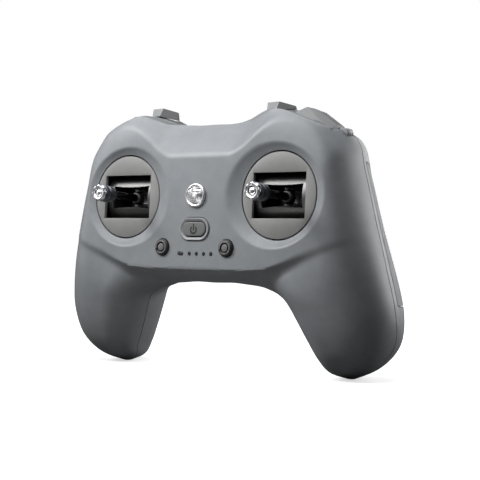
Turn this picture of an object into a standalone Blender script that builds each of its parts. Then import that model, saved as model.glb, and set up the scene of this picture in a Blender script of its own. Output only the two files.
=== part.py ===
"""A handheld radio transmitter: a two-grip controller with a pair of stick gimbals.

Lengths are millimetres in the gimbal frame, whose origin is midway between the two gimbal faces:
+X to the user's right, +Y away from the user through the case, +Z up. The base empty carries that
frame to the object's own origin, on the surface that the grip tips stand on.
"""

import math

import bmesh
import bpy
import numpy as np

MM = 0.001

# Frame
LEAN = math.radians(4.72)  # the panel leans back from upright
FLOOR_Z = -75.5  # the grip tips' flat lands
CENTRE_Y = 11.7  # middle of the object's depth

# Case
FRONT_WALL, BACK_WALL, SEAM_GAP = 2.0, 2.4, 0.4
PANEL_CROWN, PANEL_FALL, FALL_SPAN = 2.5, 1.1, 60.0  # the panel stands proud of the gimbal faces
PANEL_EDGE = 75.0
BROW_SLOPE = math.tan(math.radians(36))
CHIN_SLOPE = math.tan(math.radians(58))
BROW_BLEND, CHIN_BLEND, GRIP_BLEND = 1.0, 1.2, 6.0
PAD_RECESS, PAD_THICKNESS = 1.2, 0.9
PAD_STATIONS = (5.7, 8.95)
PAD_TURN = (7.0, 66.0)  # degrees round the back's outer edge, from the seam

# Gimbals
GIMBAL_X = 40.1
FACE_R, FACE_GAP, FACE_THICKNESS = 18.0, 0.45, 1.6
WINDOW_W, WINDOW_H = 25.7, 18.85
DISH_W, DISH_H, DISH_SHIFT = 47.0, 43.5, 1.56
PIVOT_DEPTH = 16.1
BARREL_R, BARREL_WALL, BARREL_HALF_W, AXLE_REACH = 14.2, 1.6, 12.9, 5.6
SLOT_HALF_W, SLOT_HALF_H, SLOT_FLARE = 9.95, 4.4, 0.6
DRUM_R, DRUM_RIM_R, DRUM_HALF_H, DRUM_RIM = 8.5, 8.9, 4.0, 1.3
STICK_REACH = 19.4  # tip in front of the gimbal face
SHAFT_R, SLEEVE_R, TIP_THICKNESS, SLEEVE_LENGTH = 1.7, 3.7, 1.7, 7.0

# Panel controls, up the panel from the gimbals' centre line
EYELET_R, EYELET_BOWL_R, EYELET_NECK_R = 5.05, 3.9, 4.4
POWER_V = -14.2
BEZEL_W, BEZEL_H, POWER_W, POWER_H = 15.4, 9.6, 13.2, 6.0
LED_V, LED_X, LED_D, LED_PILL_W = -24.6, (-6.9, -2.15, 1.6, 5.4, 9.15), 1.5, 3.0
KNOB_X, KNOB_V, KNOB_R, KNOB_FACE_R, KNOB_PROUD = 16.85, -22.0, 3.6, 3.0, 1.35

# Shoulders
SWITCH_X, SWITCH_Y, SWITCH_PIVOT_Z = 31.0, 13.5, 29.5
BUTTON_X, BUTTON_Z, BUTTON_TILT = 52.5, 30.6, math.radians(-21.8)
BUTTON_Y, BUTTON_SPAN = (8.2, 18.6), (-11.7, 8.4)

# Boards, battery and fasteners
BATTERY_BOX = ((-17.0, 20.0, -22.0), (17.0, 30.0, 15.0))
DOOR_HALF_W, DOOR_Z, DOOR_THICKNESS = 18.6, (-24.0, 17.0), 2.0
BOSSES = ((14.0, 21.0), (31.0, -27.0))
BOSS_R, BOSS_SPLIT_Y, SCREW_R, SCREW_HEAD_R = 3.0, 20.0, 1.1, 2.3
SCREW_SEAT_Y, SCREW_HEAD = 31.9, 1.1

# The case follows ribs from its inner outline (round between the grips) to its outer outline.
# Each station gives, in order: outer x, z; inner x, z; depth of the seam at the outer and inner edge;
# rounding of the front, outer and inner; rounding of the back, outer and inner; depth of the grip's
# front; depth of the back.
STATIONS = np.array([
    [0.0, 30.8, 0.0, -37.2, 12.5, 12.0, 9.0, 7.0, 10.0, 10.0, 12.0, 34.0],
    [10.0, 30.7, 9.5, -37.0, 11.5, 12.0, 9.0, 7.0, 10.0, 10.0, 12.0, 34.0],
    [20.0, 31.8, 16.5, -37.5, 8.0, 12.0, 9.0, 7.0, 12.0, 10.0, 12.0, 34.0],
    [35.7, 35.6, 22.0, -38.0, 4.5, 12.0, 12.0, 8.0, 14.5, 12.0, 9.0, 34.0],
    [55.0, 29.0, 25.1, -38.6, 5.5, 12.5, 16.0, 10.0, 17.0, 14.0, 6.0, 34.0],
    [65.6, 22.9, 27.6, -39.3, 18.0, 13.0, 18.0, 12.0, 19.0, 16.0, 2.0, 35.0],
    [69.3, 8.9, 31.0, -40.4, 19.3, 13.2, 16.5, 14.0, 20.4, 18.0, 0.0, 36.5],
    [74.4, -10.9, 34.8, -41.9, 19.0, 13.2, 18.0, 14.2, 21.0, 20.0, -2.0, 39.0],
    [79.1, -28.5, 38.4, -44.7, 18.6, 13.5, 23.5, 14.0, 20.0, 23.0, -2.2, 42.0],
    [82.4, -45.6, 41.4, -50.5, 20.0, 14.8, 26.0, 14.5, 18.0, 24.0, 0.0, 43.0],
    [81.6, -57.7, 45.6, -59.0, 22.8, 16.8, 23.5, 12.8, 16.2, 21.0, 3.0, 42.0],
    [77.8, -65.3, 49.6, -67.0, 23.2, 18.2, 17.7, 10.2, 13.5, 15.5, 7.0, 40.0],
    [70.9, -71.5, 52.9, -72.8, 23.8, 20.8, 10.0, 8.0, 10.0, 8.0, 13.5, 34.0],
    [60.7, -75.9, 60.2, -75.9, 24.2, 24.2, 0.3, 0.2, 0.3, 0.2, 23.5, 25.0],
])
LAST = len(STATIONS) - 1
INNER_LAST = 12.3  # the hollow stops short of the tip
TAPER_FROM = 10.0
ROUND_SHARE = 0.96  # the two roundings together never fill the whole rib

# Creases on the front, as height against distance from the middle
BROW_LINE = ((0, 17.4), (15, 17.4), (20.8, 19.6), (28, 25.2), (34, 29.4), (39, 31.2), (44, 31.3),
             (50, 29.5), (56, 26.0), (62, 20), (70, 12))
CHIN_LINE = ((0, -31), (30, -31), (34, -30.7), (38, -29.4), (44.5, -27.0), (48.3, -25.4),
             (52, -23.8), (90, -10))

MATERIALS = {
    "case": ((0.20, 0.215, 0.23), 0.5, 0.0),
    "face": ((0.22, 0.22, 0.21), 0.45, 0.2),
    "dark": ((0.03, 0.03, 0.032), 0.5, 0.0),
    "satin": ((0.42, 0.42, 0.41), 0.32, 0.9),
    "chrome": ((0.85, 0.85, 0.87), 0.08, 1.0),
    "button": ((0.14, 0.14, 0.14), 0.55, 0.0),
    "rubber": ((0.18, 0.19, 0.2), 0.75, 0.0),
    "lens": ((0.05, 0.055, 0.06), 0.2, 0.0),
    "board": ((0.02, 0.12, 0.05), 0.5, 0.0),
    "cell": ((0.05, 0.12, 0.3), 0.4, 0.0),
    "steel": ((0.5, 0.5, 0.5), 0.3, 1.0),
}


# ---- Objects ----------------------------------------------------------------------------------

def clear_scene():
    for obj in list(bpy.data.objects):
        bpy.data.objects.remove(obj, do_unlink=True)


def material(name):
    found = bpy.data.materials.get(name)
    if found:
        return found
    colour, roughness, metallic = MATERIALS[name]
    made = bpy.data.materials.new(name)
    made.use_nodes = True
    shader = made.node_tree.nodes["Principled BSDF"]
    shader.inputs["Base Color"].default_value = (*colour, 1.0)
    shader.inputs["Roughness"].default_value = roughness
    shader.inputs["Metallic"].default_value = metallic
    return made


def empty(name, parent=None, at=(0, 0, 0), turn=(0, 0, 0)):
    obj = bpy.data.objects.new(name, None)
    bpy.context.collection.objects.link(obj)
    obj.parent = parent
    obj.location = [value * MM for value in at]
    obj.rotation_euler = turn
    return obj


def solid(name, points, faces, finish, parent, at=(0, 0, 0), turn=(0, 0, 0)):
    mesh = bpy.data.meshes.new(name)
    shape = bmesh.new()
    verts = [shape.verts.new([value * MM for value in point]) for point in points]
    for face in faces:
        shape.faces.new([verts[index] for index in face])
    bmesh.ops.recalc_face_normals(shape, faces=shape.faces)
    shape.to_mesh(mesh)
    shape.free()
    mesh.materials.append(material(finish))
    mesh.shade_smooth()
    mesh.set_sharp_from_angle(angle=math.radians(35))
    obj = bpy.data.objects.new(name, mesh)
    bpy.context.collection.objects.link(obj)
    obj.parent = parent
    obj.location = [value * MM for value in at]
    obj.rotation_euler = turn
    return obj


def use_as_tool(target, tool, operation):
    tool.hide_render = True
    tool.display_type = "WIRE"
    boolean = target.modifiers.new(tool.name, "BOOLEAN")
    boolean.operation = operation
    boolean.solver = "EXACT"
    boolean.object = tool


def cut(target, tool):
    use_as_tool(target, tool, "DIFFERENCE")


def join(target, tool):
    use_as_tool(target, tool, "UNION")


# ---- Shapes -----------------------------------------------------------------------------------

def box(low, high):
    points = [(x, y, z) for x in (low[0], high[0]) for y in (low[1], high[1]) for z in (low[2], high[2])]
    faces = [(0, 1, 3, 2), (4, 6, 7, 5), (0, 4, 5, 1), (2, 3, 7, 6), (0, 2, 6, 4), (1, 5, 7, 3)]
    return points, faces


AXES = {"x": (1, 2, 0), "y": (0, 2, 1), "z": (0, 1, 2)}  # where (u, v, along) go


def placed(axis, u, v, along):
    point = [0.0, 0.0, 0.0]
    for place, value in zip(AXES[axis], (u, v, along)):
        point[place] = value
    return point


def loft(outlines):
    """Closed body through outlines of equal length, each a list of 3-D points, capped at both ends."""
    count = len(outlines[0])
    points = [point for outline in outlines for point in outline]
    faces = [tuple(range(count)), tuple(range(len(points) - count, len(points)))]
    for ring in range(len(outlines) - 1):
        for index in range(count):
            after = (index + 1) % count
            a, b = ring * count + index, ring * count + after
            faces.append((a, b, b + count, a + count))
    return points, faces


def fans(faces):
    """The same faces as triangles, for faces that aren't flat."""
    return [(face[0], face[i], face[i + 1]) for face in faces for i in range(1, len(face) - 1)]


def prism(outline, axis, low, high):
    return loft([[placed(axis, u, v, end) for u, v in outline] for end in (low, high)])


def turned(profile, axis, segments, centre=(0.0, 0.0)):
    """Profile of (radius, along) points turned about the axis; a radius of 0 at both ends closes it."""
    points, rings = [], []
    for radius, along in profile:
        if radius == 0:
            rings.append([len(points)])
            points.append(placed(axis, centre[0], centre[1], along))
            continue
        rings.append(list(range(len(points), len(points) + segments)))
        for step in range(segments):
            angle = 2 * math.pi * step / segments
            u = centre[0] + radius * math.cos(angle)
            v = centre[1] + radius * math.sin(angle)
            points.append(placed(axis, u, v, along))
    if profile[0][0] != 0:
        rings.append(rings[0])
    faces = []
    for first, second in zip(rings, rings[1:]):
        for step in range(segments):
            after = (step + 1) % segments
            corners = [first[step % len(first)], first[after % len(first)],
                       second[after % len(second)], second[step % len(second)]]
            faces.append(tuple(dict.fromkeys(corners)))
    return points, faces


def circle(radius, count, centre=(0.0, 0.0)):
    steps = [2 * math.pi * index / count for index in range(count)]
    return [(centre[0] + radius * math.cos(a), centre[1] + radius * math.sin(a)) for a in steps]


def pill(width, height, count=6, centre=(0.0, 0.0)):
    """Outline of a slot with round ends, or a circle where the sides are equal."""
    radius, reach = height / 2, (width - height) / 2
    outline = []
    for side in (1, -1):
        for step in range(count + 1):
            angle = -math.pi / 2 + math.pi * step / count
            outline.append((centre[0] + side * (reach + radius * math.cos(angle)),
                            centre[1] + side * radius * math.sin(angle)))
    return outline


def octagon(half_w, half_h, chamfer):
    near_w, near_h = half_w - chamfer, half_h - chamfer
    return [(half_w, near_h), (near_w, half_h), (-near_w, half_h), (-half_w, near_h),
            (-half_w, -near_h), (-near_w, -half_h), (near_w, -half_h), (half_w, -near_h)]


# ---- Case surface -----------------------------------------------------------------------------

def stations_at(places):
    """Smooth values between the stations, mirrored at the middle of the case."""
    before, after = STATIONS[1].copy(), 2 * STATIONS[-1] - STATIONS[-2]
    before[[0, 2]] *= -1
    table = np.vstack([before, STATIONS, after])
    start = np.clip(np.floor(places).astype(int), 0, LAST - 1)
    part = (places - start)[:, None]
    p0, p1, p2, p3 = (table[start + step] for step in range(4))
    bend = 2 * p0 - 5 * p1 + 4 * p2 - p3 + part * (3 * (p1 - p2) + p3 - p0)
    return p1 + 0.5 * part * (p2 - p0 + part * bend)


def smooth_line(x, line):
    """Monotone cubic through the line's points, symmetric in x."""
    xs, zs = np.array(line, float).T
    x = np.clip(np.abs(x), xs[0], xs[-1])
    slopes = np.diff(zs) / np.diff(xs)
    ends = np.zeros(len(xs))
    same = slopes[:-1] * slopes[1:] > 0
    ends[1:-1][same] = (2 * slopes[:-1] * slopes[1:])[same] / (slopes[:-1] + slopes[1:])[same]
    ends[-1] = slopes[-1]
    left = np.clip(np.searchsorted(xs, x, "right") - 1, 0, len(xs) - 2)
    width = xs[left + 1] - xs[left]
    s = (x - xs[left]) / width
    rise = (3 - 2 * s) * s ** 2
    pull = s * (1 - s) ** 2 * ends[left] - (1 - s) * s ** 2 * ends[left + 1]
    return zs[left] + rise * (zs[left + 1] - zs[left]) + width * pull


def deeper(a, b, blend):
    """The larger of two depths, rounded where they cross."""
    share = np.clip(0.5 + 0.5 * (a - b) / blend, 0, 1)
    return b + (a - b) * share + blend * share * (1 - share)


def panel_depth(x, z):
    proud = PANEL_CROWN - PANEL_FALL * (np.minimum(np.abs(x), PANEL_EDGE) / FALL_SPAN) ** 2
    return z * math.tan(LEAN) - proud / math.cos(LEAN)


def front_depth(x, z, grip):
    """Depth of the front: the panel, the brow that falls back above it and the chin below it."""
    brow_z, chin_z = smooth_line(x, BROW_LINE), smooth_line(x, CHIN_LINE)
    brow = panel_depth(x, brow_z) + BROW_SLOPE * (z - brow_z)
    chin = panel_depth(x, chin_z) + CHIN_SLOPE * (chin_z - z)
    chin = -deeper(-chin, -grip, GRIP_BLEND)
    return deeper(deeper(panel_depth(x, z), brow, BROW_BLEND), chin, CHIN_BLEND)


def edge_rise(share, power):
    return (1 - (1 - np.clip(share, 0, 1)) ** power) ** (1 / power)


def case_grid(places, side, turns_in, middle, turns_out, inset):
    """Grid of points on the front or back of the case, from the inner to the outer outline.

    turns_in and turns_out are angles round the two roundings in degrees, 0 at the seam and 90 at
    the middle; inset moves the surface in, as one number or one for each point of the grid.
    """
    inset = np.broadcast_to(inset, (len(places), len(turns_in) + len(middle) + len(turns_out)))
    values = stations_at(places)[:, None, :]
    outer, inner = values[..., 0:2], values[..., 2:4]
    seam_outer, seam_inner = values[..., 4], values[..., 5]
    column = 6 if side == "front" else 8
    rib = outer - inner
    length = np.linalg.norm(rib, axis=-1)
    along = rib / np.maximum(length, 1e-6)[..., None]
    span = np.maximum(length - 2 * inset, 0.02)
    round_out = np.maximum(values[..., column] - inset, 0.1)
    round_in = np.maximum(values[..., column + 1] - inset, 0.1)
    fit = np.minimum(1.0, ROUND_SHARE * span / (round_out + round_in))
    round_out, round_in = round_out * fit, round_in * fit
    count_in, count_mid = len(turns_in), len(middle)
    reach = np.empty(inset.shape)
    first, last = slice(0, count_in), slice(count_in + count_mid, None)
    between = slice(count_in, count_in + count_mid)
    reach[:, first] = round_in[:, first] * (1 - np.cos(np.radians(turns_in)))
    reach[:, between] = (round_in + (span - round_in - round_out) * 0)[:, between]
    reach[:, between] += (span - round_in - round_out)[:, between] * np.array(middle)
    reach[:, last] = (span - round_out)[:, last] + round_out[:, last] * np.cos(np.radians(turns_out))
    seam = seam_inner + (seam_outer - seam_inner) * reach / span
    place = inner + along * (inset + reach)[..., None]
    x, z = place[..., 0], place[..., 1]
    rise_out = edge_rise((span - reach) / round_out, 2.4 if side == "front" else 2.0)
    rise = edge_rise(reach / round_in, 2.0) * rise_out
    if side == "front":
        level = front_depth(x, z, values[..., 10]) + inset
    else:
        seam = seam + SEAM_GAP
        level = values[..., 11] - inset
    depth = seam + (level - seam) * rise
    return np.stack([x, depth, np.maximum(z, FLOOR_Z + inset)], axis=-1)


def hollow_places(places):
    """Stations of the hollow's ribs: the case's own, drawn up short of the tip."""
    late = TAPER_FROM + (places - TAPER_FROM) * (INNER_LAST - TAPER_FROM) / (LAST - TAPER_FROM)
    return np.where(places > TAPER_FROM, late, places)


def shell(name, outer, inner):
    """One closed wall from an outer and an inner grid of the right half, mirrored in X."""
    rows, columns = outer.shape[:2]
    points, index = [], {}

    def point(layer, side, row, column):
        key = (layer, side if row else 1, row, column)
        if key not in index:
            index[key] = len(points)
            x, y, z = (outer, inner)[layer][row, column]
            points.append((side * x if row else 0.0, y, z))
        return index[key]

    faces = []
    for side in (1, -1):
        for row in range(rows - 1):
            for column in range(columns - 1):
                for layer in (0, 1):
                    corners = [point(layer, side, row + i, column + j)
                               for i, j in ((0, 0), (1, 0), (1, 1), (0, 1))]
                    faces.append(corners)
            for column in (0, columns - 1):
                faces.append([point(0, side, row, column), point(0, side, row + 1, column),
                              point(1, side, row + 1, column), point(1, side, row, column)])
        for column in range(columns - 1):
            faces.append([point(0, side, rows - 1, column), point(0, side, rows - 1, column + 1),
                          point(1, side, rows - 1, column + 1), point(1, side, rows - 1, column)])
    return points, faces


# ---- Case pieces ------------------------------------------------------------------------------

def dish_cutter(name, panel, side):
    """Round hole for the gimbal face, opening forwards into a shallow dish."""
    count, hole = 40, FACE_R + FACE_GAP
    mouth, lead = 2.1, 4.0
    rings = [[], [], []]
    for step in range(count):
        angle = 2 * math.pi * step / count
        c, s = math.cos(angle), math.sin(angle)
        edge = 1 / math.hypot(c / (DISH_W / 2), s / (DISH_H / 2))
        at_rim = (side * (GIMBAL_X - DISH_SHIFT) + edge * c, edge * s)
        at_hole = (side * GIMBAL_X + hole * c, hole * s)
        grow = lead / mouth
        far = [h + (r - h) * grow for h, r in zip(at_hole, at_rim)]
        rings[0].append((at_hole[0], 8.0, at_hole[1]))
        rings[1].append((at_hole[0], 0.1, at_hole[1]))
        rings[2].append((far[0], 0.1 - lead, far[1]))
    return solid(name, *loft(rings), "dark", panel)


def case_places():
    """Stations of the case's ribs, and which of them carry the grip pad's recess."""
    start, end = PAD_STATIONS
    step = 0.03
    before = np.linspace(0, start - step, 13)
    inside = np.linspace(start, end, 8)
    after = np.linspace(end + step, 12, 8)
    return np.concatenate([before, inside, after, [12.3, 12.55, 12.75, 12.88, LAST]]), slice(13, 21)


def make_front_shell(base, panel):
    places, _ = case_places()
    turns_in, turns_out = [0, 25, 50, 72], [66, 45, 25, 8, 0]
    middle = [0, 0.2, 0.4, 0.6, 0.8, 1.0]
    outer = case_grid(places, "front", turns_in, middle, turns_out, 0.0)
    inner = case_grid(hollow_places(places), "front", turns_in, middle, turns_out, FRONT_WALL)
    front = solid("front_shell", *shell("front_shell", outer, inner), "case", base)
    for side, label in ((-1, "left"), (1, "right")):
        cut(front, dish_cutter("dish_" + label, panel, side))
        well = KNOB_R + 0.35
        knob_hole = turned([(0, -5), (well, -5), (well, 5), (0, 5)], "y", 18, (side * KNOB_X, KNOB_V))
        cut(front, solid("knob_hole_" + label, *knob_hole, "dark", panel))
        for number, (x, z) in enumerate(BOSSES):
            start = float(panel_depth(np.array(x), np.array(z))) + 1.0
            if number == 0:
                start += BROW_SLOPE * (z - BROW_LINE[0][1])
            post = turned([(0, start), (BOSS_R, start), (BOSS_R, BOSS_SPLIT_Y), (0, BOSS_SPLIT_Y)],
                          "y", 10, (side * x, z))
            join(front, solid(f"boss_{number}_{label}", *post, "case", base))
            drill = turned([(0, 9), (SCREW_R + 0.35, 9), (SCREW_R + 0.35, 30), (0, 30)],
                           "y", 8, (side * x, z))
            cut(front, solid(f"drill_{number}_{label}", *drill, "dark", base))
        join(front, shoulder_step("shoulder_step_" + label, base, side))
        cut(front, shoulder_opening("front_shoulder_opening_" + label, base, side))
    cut(front, solid("bezel_hole", *prism(pill(BEZEL_W + 0.6, BEZEL_H + 0.6, 6, (0, POWER_V)),
                                          "y", -6, 6), "dark", panel))
    eyelet = turned([(0, -6), (EYELET_NECK_R + 0.3, -6), (EYELET_NECK_R + 0.3, 6), (0, 6)], "y", 20)
    cut(front, solid("eyelet_hole", *eyelet, "dark", panel))
    for number, x in enumerate(LED_X):
        width = LED_PILL_W if number == 0 else LED_D
        outline = pill(width + 0.4, LED_D + 0.4, 4, (x, LED_V))
        cut(front, solid(f"led_hole_{number}", *prism(outline, "y", -6, 6), "dark", panel))
    return front


def pad_columns():
    """Angles round the back's outer edge, with the pad's recess between close pairs."""
    top, low = PAD_TURN[1], PAD_TURN[0]
    return [76, top + 1.0, top, 48, 27, low, low - 1.5, 0]


def make_back_shell(base):
    places, pad_rows = case_places()
    turns_in, turns_out = [0, 25, 50, 72], pad_columns()
    middle = [0, 0.33, 0.67, 1.0]
    inset = np.zeros((len(places), len(turns_in) + len(middle) + len(turns_out)))
    first = len(turns_in) + len(middle) + 2
    inset[pad_rows, first:first + 4] = PAD_RECESS
    outer = case_grid(places, "back", turns_in, middle, turns_out, inset)
    inner = case_grid(hollow_places(places), "back", turns_in, middle, turns_out, BACK_WALL)
    back = solid("back_shell", *shell("back_shell", outer, inner), "case", base)
    gap = 0.35
    door = box((-DOOR_HALF_W - gap, 28, DOOR_Z[0] - gap), (DOOR_HALF_W + gap, 40, DOOR_Z[1] + gap))
    cut(back, solid("door_opening", *door, "dark", base))
    cut(back, solid("usb_opening", *prism(pill(9.8, 4.0, 4, (0, 15.0)), "z", -42, -32), "dark", base))
    setup = turned([(0, 28), (2.0, 28), (2.0, 40), (0, 40)], "y", 14, (0, 21.5))
    cut(back, solid("setup_hole", *setup, "dark", base))
    for side, label in ((-1, "left"), (1, "right")):
        slot = box((side * SWITCH_X - 2.6, SWITCH_Y - 3.3, 25), (side * SWITCH_X + 2.6, SWITCH_Y + 3.3, 45))
        cut(back, solid("switch_slot_" + label, *slot, "dark", base))
        cut(back, shoulder_opening("back_shoulder_opening_" + label, base, side))
        cut(back, shoulder_step("step_room_" + label, base, side, 0.35))
        for number, (x, z) in enumerate(BOSSES):
            start, end = BOSS_SPLIT_Y + 0.4, 32.2
            post = turned([(0, start), (BOSS_R, start), (BOSS_R, end), (0, end)], "y", 10, (side * x, z))
            join(back, solid(f"post_{number}_{label}", *post, "case", base))
            drill, bore = SCREW_R + 0.35, SCREW_HEAD_R + 0.35
            reach = [(0, 16), (drill, 16), (drill, SCREW_SEAT_Y), (bore, SCREW_SEAT_Y), (bore, 46), (0, 46)]
            hole = turned(reach, "y", 8, (side * x, z))
            cut(back, solid(f"screw_hole_{number}_{label}", *hole, "dark", base))
    return back


def make_grip_pad(base, side, label):
    """Textured pad set into the recess on the back of a grip's outer edge."""
    places = np.linspace(PAD_STATIONS[0] + 0.05, PAD_STATIONS[1] - 0.05, 8)
    turns = [PAD_TURN[1] - 1.0, 48, 27, PAD_TURN[0] + 1.5]
    skins = []
    for inset in (0.0, PAD_THICKNESS):
        grid = case_grid(places, "back", [0], [0, 1], turns, inset)[:, 3:]
        skins.append(grid * (side, 1, 1))
    rows, columns = skins[0].shape[:2]
    edge = [(row, 0) for row in range(rows)]
    edge += [(rows - 1, column) for column in range(1, columns)]
    edge += [(row, columns - 1) for row in range(rows - 2, -1, -1)]
    edge += [(0, column) for column in range(columns - 2, 0, -1)]
    points = [tuple(point) for skin in skins for point in skin.reshape(-1, 3)]
    count = rows * columns
    faces = []
    for layer in (0, 1):
        for row in range(rows - 1):
            for column in range(columns - 1):
                a = layer * count + row * columns + column
                faces.append((a, a + columns, a + columns + 1, a + 1))
    for (row, column), (next_row, next_column) in zip(edge, edge[1:] + edge[:1]):
        a, b = row * columns + column, next_row * columns + next_column
        faces.append((a, b, b + count, a + count))
    solid("grip_pad_" + label, points, faces, "rubber", base)


# ---- Gimbals ----------------------------------------------------------------------------------

def arc(radius, start, end, count):
    """Points of an arc in depth and height, measured from straight forwards."""
    steps = [math.radians(start + (end - start) * index / count) for index in range(count + 1)]
    return [(-radius * math.cos(a), radius * math.sin(a)) for a in steps]


def make_faceplate(pivot, label):
    front = -PIVOT_DEPTH
    plate = prism(circle(FACE_R, 40), "y", front, front + FACE_THICKNESS)
    face = solid("gimbal_faceplate_" + label, *plate, "face", pivot)
    half_w, half_h = WINDOW_W / 2, WINDOW_H / 2
    window = box((-half_w, front - 2, -half_h), (half_w, front + 4, half_h))
    cut(face, solid("window_" + label, *window, "dark", pivot))


def make_gimbal_frame(pivot, label):
    front, back, wall = 2.0 - PIVOT_DEPTH, 28.4 - PIVOT_DEPTH, 1.5
    frame = solid("gimbal_frame_" + label, *prism(octagon(19, 18, 6), "y", front, back), "dark", pivot)
    hollow = prism(octagon(19 - wall, 18 - wall, 5.6), "y", front - 5, back - wall)
    cut(frame, solid("frame_hollow_" + label, *hollow, "dark", pivot))
    bore = turned([(0, -25), (2.3, -25), (2.3, 25), (0, 25)], "x", 12)
    cut(frame, solid("frame_bore_" + label, *bore, "dark", pivot))


def make_yoke(pivot, label):
    outline = arc(BARREL_R, -64, 64, 14) + arc(BARREL_R - BARREL_WALL, 64, -64, 14)
    yoke = solid("gimbal_yoke_" + label, *prism(outline, "x", -BARREL_HALF_W, BARREL_HALF_W), "satin", pivot)
    inside = BARREL_HALF_W - 1.5
    cheek = arc(BARREL_R - 0.4, -64, 64, 10) + [(6, 8.0), (6, -8.0)]
    for name, low, high in (("a", -BARREL_HALF_W + 0.1, -inside), ("b", inside, BARREL_HALF_W - 0.1)):
        join(yoke, solid(f"yoke_cheek_{name}_{label}", *prism(cheek, "x", low, high), "satin", pivot))
        stub = (low - AXLE_REACH, low + 1) if name == "a" else (high - 1, high + AXLE_REACH)
        axle = turned([(0, stub[0]), (2, stub[0]), (2, stub[1]), (0, stub[1])], "x", 10)
        join(yoke, solid(f"yoke_axle_{name}_{label}", *axle, "satin", pivot))
    for name, low, high in (("low", -8.6, -7.0), ("high", 7.0, 8.6)):
        shelf = box((-inside - 0.5, -9.3, low), (inside + 0.5, 5.5, high))
        join(yoke, solid(f"yoke_shelf_{name}_{label}", *shelf, "satin", pivot))
    bore = turned([(0, -12), (1.75, -12), (1.75, 12), (0, 12)], "z", 12)
    cut(yoke, solid("yoke_bore_" + label, *bore, "dark", pivot))
    edge, flare = SLOT_HALF_H, SLOT_HALF_H + SLOT_FLARE
    slot = [(-SLOT_HALF_W, -flare), (0, -edge), (SLOT_HALF_W, -flare),
            (SLOT_HALF_W, flare), (0, edge), (-SLOT_HALF_W, flare)]
    cut(yoke, solid("yoke_slot_" + label, *prism(slot, "y", -20, -8), "dark", pivot))


def make_stick(pivot, label):
    """Drum that swings in the yoke, and the stick on it: shaft, grooved sleeve and toothed tip."""
    rim = DRUM_HALF_H - DRUM_RIM
    axle = (1.4, 8.4)
    profile = [(0, -axle[1]), (axle[0], -axle[1]), (axle[0], -DRUM_HALF_H), (DRUM_RIM_R, -DRUM_HALF_H),
               (DRUM_RIM_R, -rim), (DRUM_R, -rim), (DRUM_R, rim), (DRUM_RIM_R, rim),
               (DRUM_RIM_R, DRUM_HALF_H), (axle[0], DRUM_HALF_H), axle, (0, axle[1])]
    solid("stick_drum_" + label, *turned(profile, "z", 20), "dark", pivot)
    tip = -(PIVOT_DEPTH + STICK_REACH)
    under_tip = tip + TIP_THICKNESS
    sleeve_end = under_tip + SLEEVE_LENGTH
    start, end = -DRUM_RIM_R - 0.3, under_tip + 0.6
    shaft = [(0, end), (SHAFT_R, end), (SHAFT_R, start), (0, start)]
    solid("stick_shaft_" + label, *turned(shaft, "y", 12), "dark", pivot)
    bore, groove = SHAFT_R + 0.3, 0.35
    outer = [(SLEEVE_R, under_tip + 0.3)]
    for ring in range(1, 3):
        at = under_tip + 0.3 + 2.3 * ring
        outer += [(SLEEVE_R, at - 0.3), (SLEEVE_R - groove, at), (SLEEVE_R, at + 0.3)]
    outer += [(SLEEVE_R, sleeve_end - 0.4), (SLEEVE_R - 0.4, sleeve_end)]
    profile = outer + [(bore, sleeve_end), (bore, under_tip + 0.3)]
    solid("stick_sleeve_" + label, *turned(profile, "y", 16), "dark", pivot)
    teeth = []
    for step in range(24):
        radius = SLEEVE_R if step % 3 else SLEEVE_R - 0.7
        angle = 2 * math.pi * (step + 0.5) / 24
        teeth.append((radius * math.cos(angle), radius * math.sin(angle)))
    small = [(u * 0.84, v * 0.84) for u, v in teeth]
    rings = [[placed("y", u, v, at) for u, v in outline]
             for outline, at in ((small, tip), (teeth, tip + 0.6), (teeth, under_tip))]
    solid("stick_tip_" + label, *loft(rings), "chrome", pivot)


def make_gimbal_trimmings(pivot, side, label):
    """A sensor board at the end of each axle, and the centring springs; the throttle axis has none."""
    near, far = sorted((side * 19.4, side * 20.5))
    solid("pitch_sensor_" + label, *box((near, -5, -5), (far, 5, 5)), "board", pivot)
    solid("roll_sensor_" + label, *box((-5, -4.5, 8.9), (5, 4.5, 10.1)), "board", pivot)
    roll = [(1.7, 4.3), (3.2, 4.3), (3.2, 6.7), (1.7, 6.7)]
    solid("roll_spring_" + label, *turned(roll, "z", 12), "steel", pivot)
    if label == "right":
        pitch = [(2.3, 13.3), (3.6, 13.3), (3.6, 16.8), (2.3, 16.8)]
        solid("pitch_spring_right", *turned(pitch, "x", 12), "steel", pivot)


# ---- Panel controls ---------------------------------------------------------------------------

def make_eyelet(panel):
    rim = -PANEL_CROWN - 0.3
    profile = [(0, 2.6), (EYELET_NECK_R, 2.6), (EYELET_NECK_R, rim), (EYELET_R, rim),
               (EYELET_R, rim - 0.5), (EYELET_R - 0.5, rim - 1.1), (EYELET_BOWL_R + 0.1, rim - 1.1),
               (EYELET_BOWL_R, rim), (EYELET_BOWL_R - 0.6, 0.2), (2.0, 1.6), (0, 1.9)]
    solid("lanyard_eyelet", *turned(profile, "y", 24), "chrome", panel)
    reach = EYELET_BOWL_R - 1.4
    bar = [(0, -reach), (0.7, -reach), (0.7, reach), (0, reach)]
    solid("lanyard_bar", *turned(bar, "x", 10, (-2.0, 2.0)), "chrome", panel)


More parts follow.
